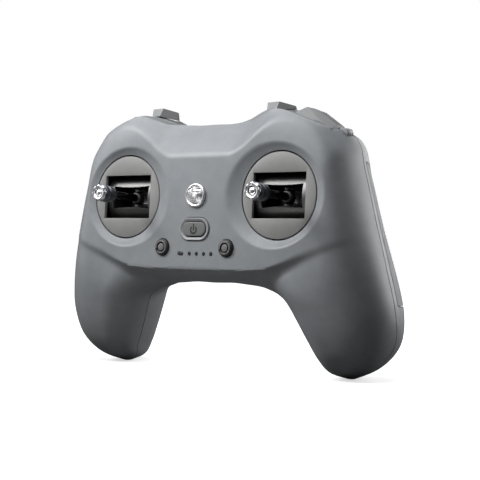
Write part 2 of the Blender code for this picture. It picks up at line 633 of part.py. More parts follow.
def make_power_button(panel):
    top = -PANEL_CROWN
    bezel = solid("power_bezel", *prism(pill(BEZEL_W, BEZEL_H, 8, (0, POWER_V)), "y", top - 0.7, 0.4),
                  "case", panel)
    cut(bezel, solid("bezel_opening", *prism(pill(POWER_W + 0.7, POWER_H + 0.7, 8, (0, POWER_V)),
                                             "y", -8, 4), "dark", panel))
    cap = prism(pill(POWER_W, POWER_H, 8, (0, POWER_V)), "y", top - 0.5, 0.2)
    button = solid("power_button", *cap, "button", panel)
    stem = turned([(0, -0.5), (1.5, -0.5), (1.5, 4.4), (0, 4.4)], "y", 10, (0, POWER_V))
    join(button, solid("power_stem", *stem, "button", panel))
    tact = box((-3, 5.1, POWER_V - 3), (3, 7.6, POWER_V + 3))
    solid("power_tact_switch", *tact, "dark", panel)


def make_leds(panel):
    for number, x in enumerate(LED_X):
        width = LED_PILL_W if number == 0 else LED_D
        outline = pill(width, LED_D, 4, (x, LED_V))
        solid(f"light_pipe_{number + 1}", *prism(outline, "y", -PANEL_CROWN - 0.05, 7.6), "lens", panel)


def make_trim_knob(panel, side, label):
    """Small notched dial on an encoder; its empty is on its own axis."""
    axis = empty("trim_axis_" + label, panel, (side * KNOB_X, 0, KNOB_V))
    top, bottom = -PANEL_CROWN - KNOB_PROUD, 0.2
    profile = [(0, top), (KNOB_FACE_R, top), (KNOB_R, top + 0.6), (KNOB_R, bottom),
               (1.2, bottom), (1.2, 1.6), (0, 1.6)]
    knob = solid("trim_knob_" + label, *turned(profile, "y", 18), "dark", axis)
    notch = box((-0.35, top - 1, 1.5), (0.35, top + 0.45, 5))
    cut(knob, solid("knob_notch_" + label, *notch, "dark", axis))
    solid("trim_encoder_" + label, *box((-3.4, 2.0, -3.4), (3.4, 7.6, 3.4)), "dark", axis)


# ---- Shoulders --------------------------------------------------------------------------------

def make_mode_switch(base, side, label):
    """Three-position paddle with a ridge down its front, on a pin under the case's top.

    Both paddles are the same moulding: the end on the user's left stands higher.
    """
    axis = empty("mode_switch_axis_" + label, base, (side * SWITCH_X, SWITCH_Y, SWITCH_PIVOT_Z))
    plan = [(-7.7, 2.0), (0.0, -2.5), (7.7, 2.0), (7.2, 3.2), (0.0, 3.2), (-7.2, 3.2)]
    floors = [6.2, 6.1, 4.0, 4.0, 6.1, 6.2] if side < 0 else [4.0, 6.1, 6.2, 6.2, 6.1, 4.0]
    bottom = [(x, y, z) for (x, y), z in zip(plan, floors)]
    top = [(-7.1, 2.2, 9.9), (0.0, 0.2, 9.9), (7.1, 2.2, 7.8), (6.8, 3.2, 7.5), (0.0, 3.2, 9.4),
           (-6.8, 3.2, 9.4)]
    points, faces = loft([bottom, top])
    paddle = solid("mode_switch_" + label, points, fans(faces), "case", axis)
    join(paddle, solid("switch_neck_" + label, *box((-2, -1.2, 0), (2, 1.2, 6.8)), "case", axis))
    pin = turned([(0, -3.2), (1.2, -3.2), (1.2, 3.2), (0, 3.2)], "x", 10)
    join(paddle, solid("switch_pin_" + label, *pin, "case", axis))
    body = box((side * SWITCH_X - 4, SWITCH_Y - 3.6, 20.2), (side * SWITCH_X + 4, SWITCH_Y + 3.6, 28.0))
    solid("switch_body_" + label, *body, "dark", base)


def shoulder_outline(side, points):
    """Points along and out from the shoulder's slope, turned to x and z."""
    c, s = math.cos(BUTTON_TILT), math.sin(BUTTON_TILT)
    return [(side * (BUTTON_X + a * c - m * s), BUTTON_Z + a * s + m * c) for a, m in points]


def shoulder_opening(name, base, side):
    low, high = BUTTON_SPAN[0] - 0.5, BUTTON_SPAN[1] + 0.5
    outline = shoulder_outline(side, [(low, -12), (high, -12), (high, 8), (low, 8)])
    return solid(name, *prism(outline, "y", BUTTON_Y[0] - 0.5, BUTTON_Y[1] + 0.47), "dark", base)


def shoulder_step(name, base, side, gap=0.0):
    """Fixed lip of the front beyond the button's lower end, or the room the back leaves for it."""
    corners = [(9.2 - gap, -3.5 - gap), (13.4 + gap, -3.5 - gap), (13.9 + gap, gap - 0.6),
               (12.8 + gap, 0.7 + gap), (11.0, 0.5 + gap), (9.2 - gap, 0.1 + gap)]
    outline = shoulder_outline(side, corners)
    return solid(name, *prism(outline, "y", 13.0 if gap == 0 else 9.0, 17.2 + gap), "case", base)


def make_shoulder_button(base, side, label):
    """Faceted cap whose ridge runs from its high inner end down to its front edge."""
    near, far = BUTTON_Y
    # Corners as (along the slope, depth, out from it), round the skirt and then round the cap.
    skirt = [(-11.7, near), (2.6, near), (8.4, near), (8.4, far), (-2.1, far), (-8.4, far), (-11.7, far)]
    cap = [(-11.7, near, -1.6), (2.6, near, 0.2), (8.4, near, -0.9), (8.4, far, 0.1), (-2.1, far, 2.6),
           (-8.4, far, 2.4), (-11.7, far, -0.8)]
    ridge = [(-8.4, 12.5, 2.8), (-2.1, 13.5, 2.9), (7.6, 13.5, 0.5)]
    corners = [(a, y, -3.2) for a, y in skirt] + cap + ridge
    points = []
    for along, depth, out in corners:
        x, z = shoulder_outline(side, [(along, out)])[0]
        points.append((x, depth, z))
    faces = [tuple(range(7))] + [(i, (i + 1) % 7, (i + 1) % 7 + 7, i + 7) for i in range(7)]
    faces += [(7, 8, 14), (8, 9, 16, 15, 14), (9, 10, 16), (10, 11, 15, 16), (11, 12, 14, 15), (12, 13, 14),
              (13, 7, 14)]
    solid("shoulder_button_" + label, points, faces, "button", base)
    under = shoulder_outline(side, [(-4.5, -8.0), (1.5, -8.0), (1.5, -5.0), (-4.5, -5.0)])
    tact = prism(under, "y", 10.5, 16.5)
    solid("shoulder_tact_" + label, *tact, "dark", base)


# ---- Inside and fasteners ---------------------------------------------------------------------

def make_electronics(base, panel):
    solid("front_board", *box((-19.4, 7.9, -29), (19.4, 9.1, -8)), "board", panel)
    solid("main_board", *box((-19.3, 17.0, -30), (19.3, 18.6, 14)), "board", base)
    solid("battery", *box(*BATTERY_BOX), "cell", base)
    port = solid("usb_port", *prism(pill(9.0, 3.2, 6, (0, 15.0)), "z", -36.6, -29.5), "steel", base)
    cut(port, solid("usb_socket", *prism(pill(8.3, 2.5, 6, (0, 15.0)), "z", -38, -30.5), "dark", base))
    join(port, solid("usb_tongue", *box((-3.35, 14.65, -35.6), (3.35, 15.35, -30)), "dark", base))
    solid("antenna_board", *box((-9, 22, 16.5), (9, 23, 26.0)), "board", base)
    buzzer = turned([(0, 12.3), (4.5, 12.3), (4.5, 16.7), (0, 16.7)], "y", 16, (0, 5))
    solid("buzzer", *buzzer, "dark", base)
    button = turned([(0, 24), (1.5, 24), (1.5, 34.1), (0, 34.1)], "y", 12, (0, 21.5))
    solid("setup_button", *button, "button", base)


def make_battery_door(base):
    low = (-DOOR_HALF_W, 34 - DOOR_THICKNESS, DOOR_Z[0])
    high = (DOOR_HALF_W, 34, DOOR_Z[1])
    door = solid("battery_door", *box(low, high), "case", base)
    for number in range(3):
        z = DOOR_Z[0] + 5 + 2.2 * number
        groove = box((-7, 33.5, z - 0.5), (7, 36, z + 0.5))
        cut(door, solid(f"door_groove_{number}", *groove, "dark", base))


def make_screws(base):
    for number, (x, z) in enumerate(BOSSES):
        for side, label in ((-1, "left"), (1, "right")):
            seat = SCREW_SEAT_Y + 0.1
            profile = [(0, 12), (SCREW_R, 12), (SCREW_R, seat), (SCREW_HEAD_R, seat),
                       (SCREW_HEAD_R, seat + SCREW_HEAD), (0, seat + SCREW_HEAD)]
            name = f"case_screw_{'upper' if number == 0 else 'lower'}_{label}"
            solid(name, *turned(profile, "y", 10, (side * x, z)), "steel", base)


def main():
    clear_scene()
    base = empty("base", None, (0, -CENTRE_Y, -FLOOR_Z))
    panel = empty("panel", base, turn=(-LEAN, 0, 0))
    make_front_shell(base, panel)
    make_back_shell(base)
    for side, label in ((-1, "left"), (1, "right")):
        make_grip_pad(base, side, label)
        pivot = empty("gimbal_pivot_" + label, panel, (side * GIMBAL_X, PIVOT_DEPTH, 0))
        make_faceplate(pivot, label)
        make_gimbal_frame(pivot, label)
        make_yoke(pivot, label)
        make_stick(pivot, label)
        make_gimbal_trimmings(pivot, side, label)
        make_trim_knob(panel, side, label)
        make_mode_switch(base, side, label)
        make_shoulder_button(base, side, label)
    make_eyelet(panel)
    make_power_button(panel)
    make_leds(panel)
    make_electronics(base, panel)
    make_battery_door(base)
    make_screws(base)


main()
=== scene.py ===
"""Looks of the radio transmitter: fine surfaces, materials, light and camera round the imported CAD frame.

Lengths are millimetres in the gimbal frame, as in part.py, and become metres in the row frame.
"""

import math

import bmesh
import bpy
import numpy as np
from mathutils import Matrix, Vector
from mathutils.bvhtree import BVHTree


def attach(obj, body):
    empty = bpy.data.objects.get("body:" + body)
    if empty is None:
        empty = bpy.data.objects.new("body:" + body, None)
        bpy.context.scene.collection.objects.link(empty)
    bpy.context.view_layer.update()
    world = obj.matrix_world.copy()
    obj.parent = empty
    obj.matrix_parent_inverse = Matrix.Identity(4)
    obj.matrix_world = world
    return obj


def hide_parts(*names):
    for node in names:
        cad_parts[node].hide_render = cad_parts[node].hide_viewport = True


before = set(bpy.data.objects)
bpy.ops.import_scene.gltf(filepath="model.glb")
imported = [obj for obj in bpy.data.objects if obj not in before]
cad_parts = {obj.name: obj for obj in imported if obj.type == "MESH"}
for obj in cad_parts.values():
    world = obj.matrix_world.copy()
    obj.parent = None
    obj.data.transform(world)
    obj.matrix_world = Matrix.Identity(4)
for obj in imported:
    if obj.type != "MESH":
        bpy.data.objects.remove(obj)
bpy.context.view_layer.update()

MM = 0.001
LEAN = math.radians(4.72)
FLOOR_Z, CENTRE_Y = -75.5, 11.7
TO_ROW = Matrix.Translation((0, -CENTRE_Y * MM, -FLOOR_Z * MM)) @ Matrix.Scale(MM, 4)
PANEL = Matrix.Rotation(-LEAN, 4, "X")
GIMBAL_X, PIVOT_DEPTH = 40.1, 16.1
SIDES = ((-1, "left"), (1, "right"))

# Case surface, as in part.py
SEAM_GAP = 0.4
PANEL_CROWN, PANEL_FALL, FALL_SPAN, PANEL_EDGE = 2.5, 1.1, 60.0, 75.0
BROW_SLOPE, CHIN_SLOPE = math.tan(math.radians(36)), math.tan(math.radians(58))
BROW_BLEND, CHIN_BLEND, GRIP_BLEND = 1.0, 1.2, 6.0
STATIONS = np.array([
    [0.0, 30.8, 0.0, -37.2, 12.5, 12.0, 9.0, 7.0, 10.0, 10.0, 12.0, 34.0],
    [10.0, 30.7, 9.5, -37.0, 11.5, 12.0, 9.0, 7.0, 10.0, 10.0, 12.0, 34.0],
    [20.0, 31.8, 16.5, -37.5, 8.0, 12.0, 9.0, 7.0, 12.0, 10.0, 12.0, 34.0],
    [35.7, 35.6, 22.0, -38.0, 4.5, 12.0, 12.0, 8.0, 14.5, 12.0, 9.0, 34.0],
    [55.0, 29.0, 25.1, -38.6, 5.5, 12.5, 16.0, 10.0, 17.0, 14.0, 6.0, 34.0],
    [65.6, 22.9, 27.6, -39.3, 18.0, 13.0, 18.0, 12.0, 19.0, 16.0, 2.0, 35.0],
    [69.3, 8.9, 31.0, -40.4, 19.3, 13.2, 16.5, 14.0, 20.4, 18.0, 0.0, 36.5],
    [74.4, -10.9, 34.8, -41.9, 19.0, 13.2, 18.0, 14.2, 21.0, 20.0, -2.0, 39.0],
    [79.1, -28.5, 38.4, -44.7, 18.6, 13.5, 23.5, 14.0, 20.0, 23.0, -2.2, 42.0],
    [82.4, -45.6, 41.4, -50.5, 20.0, 14.8, 26.0, 14.5, 18.0, 24.0, 0.0, 43.0],
    [81.6, -57.7, 45.6, -59.0, 22.8, 16.8, 23.5, 12.8, 16.2, 21.0, 3.0, 42.0],
    [77.8, -65.3, 49.6, -67.0, 23.2, 18.2, 17.7, 10.2, 13.5, 15.5, 7.0, 40.0],
    [70.9, -71.5, 52.9, -72.8, 23.8, 20.8, 10.0, 8.0, 10.0, 8.0, 13.5, 34.0],
    [60.7, -75.9, 60.2, -75.9, 24.2, 24.2, 0.3, 0.2, 0.3, 0.2, 23.5, 25.0],
])
LAST = len(STATIONS) - 1
INNER_LAST, TAPER_FROM, ROUND_SHARE = 12.3, 10.0, 0.96
BROW_LINE = ((0, 17.4), (15, 17.4), (20.8, 19.6), (28, 25.2), (34, 29.4), (39, 31.2), (44, 31.3),
             (50, 29.5), (56, 26.0), (62, 20), (70, 12))
CHIN_LINE = ((0, -31), (30, -31), (34, -30.7), (38, -29.4), (44.5, -27.0), (48.3, -25.4),
             (52, -23.8), (90, -10))
PAD_STATIONS, PAD_TURN = (5.7, 8.95), (7.0, 66.0)
WALL = 2.0

# Gimbals and dishes
HOLE_R = 18.42
DISH_W, DISH_H, DISH_SHIFT = 47.0, 43.5, 1.56
WINDOW_W, WINDOW_H = 25.7, 18.85
KNOB_X, KNOB_V = 16.85, -22.0
LAMP_X, LAMP_V, LAMP_D, LAMP_PILL_W = (-6.9, -2.15, 1.6, 5.4, 9.15), -24.6, 1.5, 3.0
POWER_V = -14.2

# Shoulders
SWITCH_X, SWITCH_Y, SWITCH_PIVOT_Z = 31.0, 13.5, 29.5
BUTTON_X, BUTTON_Z, BUTTON_TILT = 52.5, 30.6, math.radians(-21.8)
BUTTON_Y = (8.2, 18.6)
BOSSES = ((14.0, 21.0), (31.0, -27.0))


# ---- Materials --------------------------------------------------------------------------------

class Nodes:
    """Short hand for building one material's node tree."""

    def __init__(self, name):
        self.material = bpy.data.materials.new(name)
        self.material.use_nodes = True
        self.tree = self.material.node_tree
        self.shader = self.tree.nodes["Principled BSDF"]
        self.place = self.add("ShaderNodeTexCoord").outputs["Object"]

    def add(self, kind, **values):
        node = self.tree.nodes.new(kind)
        for key, value in values.items():
            setattr(node, key, value)
        return node

    def link(self, start, end):
        self.tree.links.new(start, end)

    def noise(self, scale, detail=3.0, stretch=(1, 1, 1)):
        mapping = self.add("ShaderNodeMapping")
        mapping.inputs["Scale"].default_value = stretch
        self.link(self.place, mapping.inputs["Vector"])
        noise = self.add("ShaderNodeTexNoise")
        noise.inputs["Scale"].default_value = scale
        noise.inputs["Detail"].default_value = detail
        self.link(mapping.outputs["Vector"], noise.inputs["Vector"])
        return noise.outputs["Fac"]

    def mix(self, factor, low, high, span=(0.3, 0.7)):
        """Colour ramp between two colours over the middle of a noise."""
        ramp = self.add("ShaderNodeValToRGB")
        ramp.color_ramp.elements[0].position = span[0]
        ramp.color_ramp.elements[1].position = span[1]
        ramp.color_ramp.elements[0].color = (*low, 1)
        ramp.color_ramp.elements[1].color = (*high, 1)
        self.link(factor, ramp.inputs["Fac"])
        return ramp.outputs["Color"]

    def bump(self, height, distance, strength=1.0):
        bump = self.add("ShaderNodeBump")
        bump.inputs["Distance"].default_value = distance
        bump.inputs["Strength"].default_value = strength
        self.link(height, bump.inputs["Height"])
        self.link(bump.outputs["Normal"], self.shader.inputs["Normal"])

    def roughness(self, factor, low, high):
        spread = self.add("ShaderNodeMapRange")
        spread.inputs["To Min"].default_value = low
        spread.inputs["To Max"].default_value = high
        self.link(factor, spread.inputs["Value"])
        self.link(spread.outputs["Result"], self.shader.inputs["Roughness"])


def shade(colour, amount):
    return tuple(min(1.0, value * amount) for value in colour)


def moulded(name, colour, rough, grain=4500, depth=0.012, vary=0.05, specular=0.5, coat=0.0):
    """Moulded plastic: spark-eroded grain, slight mottling and uneven sheen."""
    nodes = Nodes(name)
    mottle = nodes.noise(180, 4)
    nodes.link(nodes.mix(mottle, shade(colour, 1 - vary), shade(colour, 1 + vary)),
               nodes.shader.inputs["Base Color"])
    nodes.roughness(nodes.noise(900, 2), rough - 0.04, rough + 0.05)
    nodes.bump(nodes.noise(grain, 2), depth * MM)
    nodes.shader.inputs["Specular IOR Level"].default_value = specular
    if coat:
        nodes.shader.inputs["Coat Weight"].default_value = coat
        nodes.shader.inputs["Coat Roughness"].default_value = 0.2
    return nodes.material


def metal(name, colour, rough, stretch=(1, 1, 1), grain=2500, depth=0.004, spread=0.06):
    """Metal with fine marks drawn out along one way, uneven in roughness."""
    nodes = Nodes(name)
    marks = nodes.noise(grain, 3, stretch)
    nodes.link(nodes.mix(marks, shade(colour, 0.88), shade(colour, 1.06)), nodes.shader.inputs["Base Color"])
    nodes.roughness(nodes.noise(600, 3, stretch), rough, rough + spread)
    nodes.bump(marks, depth * MM)
    nodes.shader.inputs["Metallic"].default_value = 1.0
    return nodes.material


def board(name):
    nodes = Nodes(name)
    traces = nodes.noise(350, 1, (1, 1, 1))
    nodes.link(nodes.mix(traces, (0.01, 0.09, 0.035), (0.03, 0.2, 0.08), (0.48, 0.52)),
               nodes.shader.inputs["Base Color"])
    nodes.roughness(nodes.noise(2000), 0.3, 0.4)
    return nodes.material


CASE_GREY = (0.225, 0.238, 0.252)
MATERIALS = {
    "case": moulded("case_grey_matte", CASE_GREY, 0.46, specular=0.55),
    "grip": moulded("grip_grey_soft", shade(CASE_GREY, 0.95), 0.58, 1800, 0.03),
    "face": moulded("gimbal_face_satin", (0.235, 0.235, 0.23), 0.5, 6000, 0.006),
    "black": moulded("black_moulding", (0.016, 0.016, 0.017), 0.42),
    # Near-black painted shade for the wall that runs back into each gimbal hole; cutters carry it too
    "void": moulded("painted_shade_inside", (0.004, 0.004, 0.004), 0.8),
    "satin": metal("satin_yoke", (0.14, 0.139, 0.137), 0.42, (0.15, 1, 1), 3000, 0.008),
    "drum": metal("dark_drum", (0.10, 0.10, 0.105), 0.24, (1, 1, 0.2), 3000, 0.006),
    "anodised": metal("dark_anodised", (0.11, 0.115, 0.13), 0.3, (1, 0.2, 1), 3500, 0.006),
    "chrome": metal("polished_chrome", (0.90, 0.90, 0.92), 0.25, (1, 1, 1), 1500, 0.0001, 0.05),
    "bowl": metal("satin_bowl", (0.95, 0.95, 0.97), 0.36, (1, 1, 1), 3000, 0.002),
    "steel": metal("plain_steel", (0.35, 0.35, 0.36), 0.3, (1, 1, 1), 3000, 0.006),
    "switch": moulded("switch_grey", (0.27, 0.278, 0.282), 0.42, 5000, 0.008),
    # Dark grey of the switch bases; also painted shade on the paddles' right facets
    "switch_dark": moulded("switch_base_grey", (0.045, 0.047, 0.048), 0.5, 5000, 0.008),
    "shoulder": moulded("shoulder_grey", (0.17, 0.174, 0.177), 0.42, 5000, 0.008),
    "button": moulded("button_grey", (0.135, 0.137, 0.137), 0.5, 2600, 0.02),
    "knob": moulded("knob_dark", (0.02, 0.02, 0.021), 0.48, 3500, 0.01),
    "knob_face": moulded("knob_face", (0.15, 0.15, 0.148), 0.42, 3500, 0.01),
    "bezel": moulded("bezel_grey", (0.26, 0.27, 0.28), 0.4, 5000, 0.006),
    "lamp": moulded("lamp_dark", (0.03, 0.032, 0.036), 0.18, 900, 0.002, coat=0.5),
    "ink": moulded("symbol_dark", (0.012, 0.012, 0.013), 0.5),
    "board": board("green_board"),
    "cell": metal("pouch_foil", (0.5, 0.52, 0.56), 0.4, (1, 1, 0.3), 800, 0.02),
}


# ---- Meshes -----------------------------------------------------------------------------------

def in_panel(side=0, depth=0.0):
    """Transform from panel-local millimetres to the row frame."""
    return TO_ROW @ PANEL @ Matrix.Translation((side * GIMBAL_X, depth, 0))


def piece(name, points, faces, finish, body=None, stands_for=(), frame_of=TO_ROW, sharp=35):
    mesh = bpy.data.meshes.new(name)
    shape = bmesh.new()
    verts = [shape.verts.new(frame_of @ Vector(point)) for point in points]
    for face in faces:
        corners = [verts[index] for index in dict.fromkeys(face)]
        if len(corners) > 2:
            shape.faces.new(corners)
    bmesh.ops.recalc_face_normals(shape, faces=shape.faces)
    shape.to_mesh(mesh)
    shape.free()
    obj = bpy.data.objects.new(name, mesh)
    bpy.context.collection.objects.link(obj)
    return finished(obj, finish, body, stands_for, sharp)


def finished(obj, finish, body, stands_for=(), sharp=35):
    obj.data.materials.clear()
    obj.data.materials.append(MATERIALS[finish])
    obj.data.shade_smooth()
    obj.data.set_sharp_from_angle(angle=math.radians(sharp))
    if body:
        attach(obj, body)
        if stands_for:
            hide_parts(*stands_for)
    return obj


def applied(obj):
    """The object's mesh with its modifiers in it."""
    graph = bpy.context.evaluated_depsgraph_get()
    mesh = bpy.data.meshes.new_from_object(obj.evaluated_get(graph))
    obj.modifiers.clear()
    obj.data = mesh
    return obj


def bevelled(obj, width, segments=2, angle=35):
    bevel = obj.modifiers.new("edges", "BEVEL")
    bevel.width = width * MM
    bevel.segments = segments
    bevel.limit_method = "ANGLE"
    bevel.angle_limit = math.radians(angle)
    bevel.use_clamp_overlap = True
    bevel.harden_normals = False
    applied(obj)
    obj.data.shade_smooth()
    obj.data.set_sharp_from_angle(angle=math.radians(50))
    return obj


def carved(obj, cutters, operation="DIFFERENCE"):
    for cutter in cutters:
        boolean = obj.modifiers.new(cutter.name, "BOOLEAN")
        boolean.operation = operation
        boolean.solver = "EXACT"
        boolean.object = cutter
    applied(obj)
    for cutter in cutters:
        bpy.data.objects.remove(cutter, do_unlink=True)
    return obj


def cutter(name, points_faces, frame_of=TO_ROW):
    return piece(name, *points_faces, "void", frame_of=frame_of)


def box(low, high):
    points = [(x, y, z) for x in (low[0], high[0]) for y in (low[1], high[1]) for z in (low[2], high[2])]
    faces = [(0, 1, 3, 2), (4, 6, 7, 5), (0, 4, 5, 1), (2, 3, 7, 6), (0, 2, 6, 4), (1, 5, 7, 3)]
    return points, faces


AXES = {"x": (1, 2, 0), "y": (0, 2, 1), "z": (0, 1, 2)}


def placed(axis, u, v, along):
    point = [0.0, 0.0, 0.0]
    for place, value in zip(AXES[axis], (u, v, along)):
        point[place] = value
    return point


def loft(outlines, caps=True):
    count = len(outlines[0])
    points = [point for outline in outlines for point in outline]
    faces = []
    if caps:
        faces = [tuple(range(count)), tuple(range(len(points) - count, len(points)))]
    for ring in range(len(outlines) - 1):
        for index in range(count):
            after = (index + 1) % count
            a, b = ring * count + index, ring * count + after
            faces.append((a, b, b + count, a + count))
    return points, faces


def prism(outline, axis, low, high):
    return loft([[placed(axis, u, v, end) for u, v in outline] for end in (low, high)])


def turned(profile, axis, segments, centre=(0.0, 0.0)):
    """Profile of (radius, along) points turned about the axis; a radius of 0 closes it."""
    points, rings = [], []
    for radius, along in profile:
        if radius == 0:
            rings.append([len(points)])
            points.append(placed(axis, centre[0], centre[1], along))
            continue
        rings.append(list(range(len(points), len(points) + segments)))
        for step in range(segments):
            angle = 2 * math.pi * step / segments
            points.append(placed(axis, centre[0] + radius * math.cos(angle),
                                 centre[1] + radius * math.sin(angle), along))
    if profile[0][0] != 0:
        rings.append(rings[0])
    faces = []
    for first, second in zip(rings, rings[1:]):
        for step in range(segments):
            after = (step + 1) % segments
            corners = [first[step % len(first)], first[after % len(first)],
                       second[after % len(second)], second[step % len(second)]]
            faces.append(tuple(dict.fromkeys(corners)))
    return points, faces


def circle(radius, count, centre=(0.0, 0.0)):
    steps = [2 * math.pi * index / count for index in range(count)]
    return [(centre[0] + radius * math.cos(a), centre[1] + radius * math.sin(a)) for a in steps]


def pill(width, height, count=14, centre=(0.0, 0.0)):
    radius, reach = height / 2, (width - height) / 2
    outline = []
    for side in (1, -1):
        for step in range(count + 1):
            angle = -math.pi / 2 + math.pi * step / count
            outline.append((centre[0] + side * (reach + radius * math.cos(angle)),
                            centre[1] + side * radius * math.sin(angle)))
    return outline


def rounded_stack(width, height, layers, centre=(0.0, 0.0), count=14):
    """Loft of pill outlines, each layer (inset, along), capped at both ends."""
    return loft([[placed("y", u, v, along) for u, v in
                  pill(width - 2 * inset, height - 2 * inset, count, centre)] for inset, along in layers])


def arc(radius, start, end, count):
    steps = [math.radians(start + (end - start) * index / count) for index in range(count + 1)]
    return [(-radius * math.cos(a), radius * math.sin(a)) for a in steps]


# ---- Case surface -----------------------------------------------------------------------------

def stations_at(places):
    before, after = STATIONS[1].copy(), 2 * STATIONS[-1] - STATIONS[-2]
    before[[0, 2]] *= -1
    table = np.vstack([before, STATIONS, after])
    start = np.clip(np.floor(places).astype(int), 0, LAST - 1)
    part = (places - start)[:, None]
    p0, p1, p2, p3 = (table[start + step] for step in range(4))
    bend = 2 * p0 - 5 * p1 + 4 * p2 - p3 + part * (3 * (p1 - p2) + p3 - p0)
    return p1 + 0.5 * part * (p2 - p0 + part * bend)


def smooth_line(x, line):
    xs, zs = np.array(line, float).T
    x = np.clip(np.abs(x), xs[0], xs[-1])
    slopes = np.diff(zs) / np.diff(xs)
    ends = np.zeros(len(xs))
    same = slopes[:-1] * slopes[1:] > 0
    ends[1:-1][same] = (2 * slopes[:-1] * slopes[1:])[same] / (slopes[:-1] + slopes[1:])[same]
    ends[-1] = slopes[-1]
    left = np.clip(np.searchsorted(xs, x, "right") - 1, 0, len(xs) - 2)
    width = xs[left + 1] - xs[left]
    s = (x - xs[left]) / width
    rise = (3 - 2 * s) * s ** 2
    pull = s * (1 - s) ** 2 * ends[left] - (1 - s) * s ** 2 * ends[left + 1]
    return zs[left] + rise * (zs[left + 1] - zs[left]) + width * pull


def deeper(a, b, blend):
    share = np.clip(0.5 + 0.5 * (a - b) / blend, 0, 1)
    return b + (a - b) * share + blend * share * (1 - share)


def panel_depth(x, z):
    proud = PANEL_CROWN - PANEL_FALL * (np.minimum(np.abs(x), PANEL_EDGE) / FALL_SPAN) ** 2
    return z * math.tan(LEAN) - proud / math.cos(LEAN)


def front_depth(x, z, grip):
    brow_z, chin_z = smooth_line(x, BROW_LINE), smooth_line(x, CHIN_LINE)
    brow = panel_depth(x, brow_z) + BROW_SLOPE * (z - brow_z)
    chin = panel_depth(x, chin_z) + CHIN_SLOPE * (chin_z - z)
    chin = -deeper(-chin, -grip, GRIP_BLEND)
    return deeper(deeper(panel_depth(x, z), brow, BROW_BLEND), chin, CHIN_BLEND)


def edge_rise(share, power):
    return (1 - (1 - np.clip(share, 0, 1)) ** power) ** (1 / power)


def case_grid(places, side, turns_in, middle, turns_out, inset):
    """Grid of points on the front or back of the case, from the inner to the outer outline."""
    counts = (len(turns_in), len(middle), len(turns_out))
    inset = np.broadcast_to(inset, (len(places), sum(counts)))
    values = stations_at(places)[:, None, :]
    outer, inner = values[..., 0:2], values[..., 2:4]
    seam_outer, seam_inner = values[..., 4], values[..., 5]
    column = 6 if side == "front" else 8
    rib = outer - inner
    length = np.linalg.norm(rib, axis=-1)
    along = rib / np.maximum(length, 1e-6)[..., None]
    span = np.maximum(length - 2 * inset, 0.02)
    round_out = np.maximum(values[..., column] - inset, 0.1)
    round_in = np.maximum(values[..., column + 1] - inset, 0.1)
    fit = np.minimum(1.0, ROUND_SHARE * span / (round_out + round_in))
    round_out, round_in = round_out * fit, round_in * fit
    first, between = slice(0, counts[0]), slice(counts[0], counts[0] + counts[1])
    last = slice(counts[0] + counts[1], None)
    reach = np.empty(inset.shape)
    reach[:, first] = round_in[:, first] * (1 - np.cos(np.radians(turns_in)))
    flat = (span - round_in - round_out)[:, between]
    reach[:, between] = round_in[:, between] + flat * np.array(middle)
    reach[:, last] = (span - round_out)[:, last] + round_out[:, last] * np.cos(np.radians(turns_out))
    seam = seam_inner + (seam_outer - seam_inner) * reach / span
    place = inner + along * (inset + reach)[..., None]
    x, z = place[..., 0], place[..., 1]
    rise_out = edge_rise((span - reach) / round_out, 2.4 if side == "front" else 2.0)
    rise = edge_rise(reach / round_in, 2.0) * rise_out
    if side == "front":
        level = front_depth(x, z, values[..., 10]) + inset
    else:
        seam = seam + SEAM_GAP
        level = values[..., 11] - inset
    depth = seam + (level - seam) * rise
    return np.stack([np.clip(x, -82.5, 82.5), depth, np.maximum(z, FLOOR_Z + inset)], axis=-1)


def hollow_places(places):
    late = TAPER_FROM + (places - TAPER_FROM) * (INNER_LAST - TAPER_FROM) / (LAST - TAPER_FROM)
    return np.where(places > TAPER_FROM, late, places)


def shell(outer, inner):
    """One closed wall from an outer and an inner grid of the right half, mirrored in X."""
    rows, columns = outer.shape[:2]
    points, index = [], {}

    def point(layer, side, row, column):
        key = (layer, side if row else 1, row, column)
        if key not in index:
            index[key] = len(points)
            x, y, z = (outer, inner)[layer][row, column]
            points.append((side * x if row else 0.0, y, z))
        return index[key]

    faces = []
    for side in (1, -1):
        for row in range(rows - 1):
            for column in range(columns - 1):
                for layer in (0, 1):
                    faces.append([point(layer, side, row + i, column + j)
                                  for i, j in ((0, 0), (1, 0), (1, 1), (0, 1))])
            for column in (0, columns - 1):
                faces.append([point(0, side, row, column), point(0, side, row + 1, column),
                              point(1, side, row + 1, column), point(1, side, row, column)])
        for column in range(columns - 1):
            faces.append([point(0, side, rows - 1, column), point(0, side, rows - 1, column + 1),
                          point(1, side, rows - 1, column + 1), point(1, side, rows - 1, column)])
    return points, faces


STEP = 0.07


def fine_places(extra=()):
    end = [12.1, 12.2, 12.3, 12.4, 12.5, 12.6, 12.7, 12.78, 12.85, 12.91, 12.96, LAST]
    places = np.concatenate([np.arange(0, 12.01, STEP), end, extra])
    return np.unique(np.round(places, 4))


def shoulder_outline(side, points):
    c, s = math.cos(BUTTON_TILT), math.sin(BUTTON_TILT)
    return [(side * (BUTTON_X + a * c - m * s), BUTTON_Z + a * s + m * c) for a, m in points]


def shoulder_cutter(name, side):
    outline = shoulder_outline(side, [(-12.2, -12), (8.9, -12), (8.9, 8), (-12.2, 8)])
    return cutter(name, prism(outline, "y", BUTTON_Y[0] - 0.5, BUTTON_Y[1] + 0.47))


def dish_edge(angle, extra=0.0):
    """Outline of the dish round a gimbal, from the gimbal's own centre: distance at this angle."""
    a, b, shift = DISH_W / 2 + extra, DISH_H / 2 + extra, DISH_SHIFT
    c, s = math.cos(angle), math.sin(angle)
    # Distance along the ray at which it leaves the ellipse centred at (-shift, 0).
    p = (c / a) ** 2 + (s / b) ** 2
    q = c * shift / a ** 2
    r = (shift / a) ** 2 - 1
    return (-q + math.sqrt(q * q - p * r)) / p


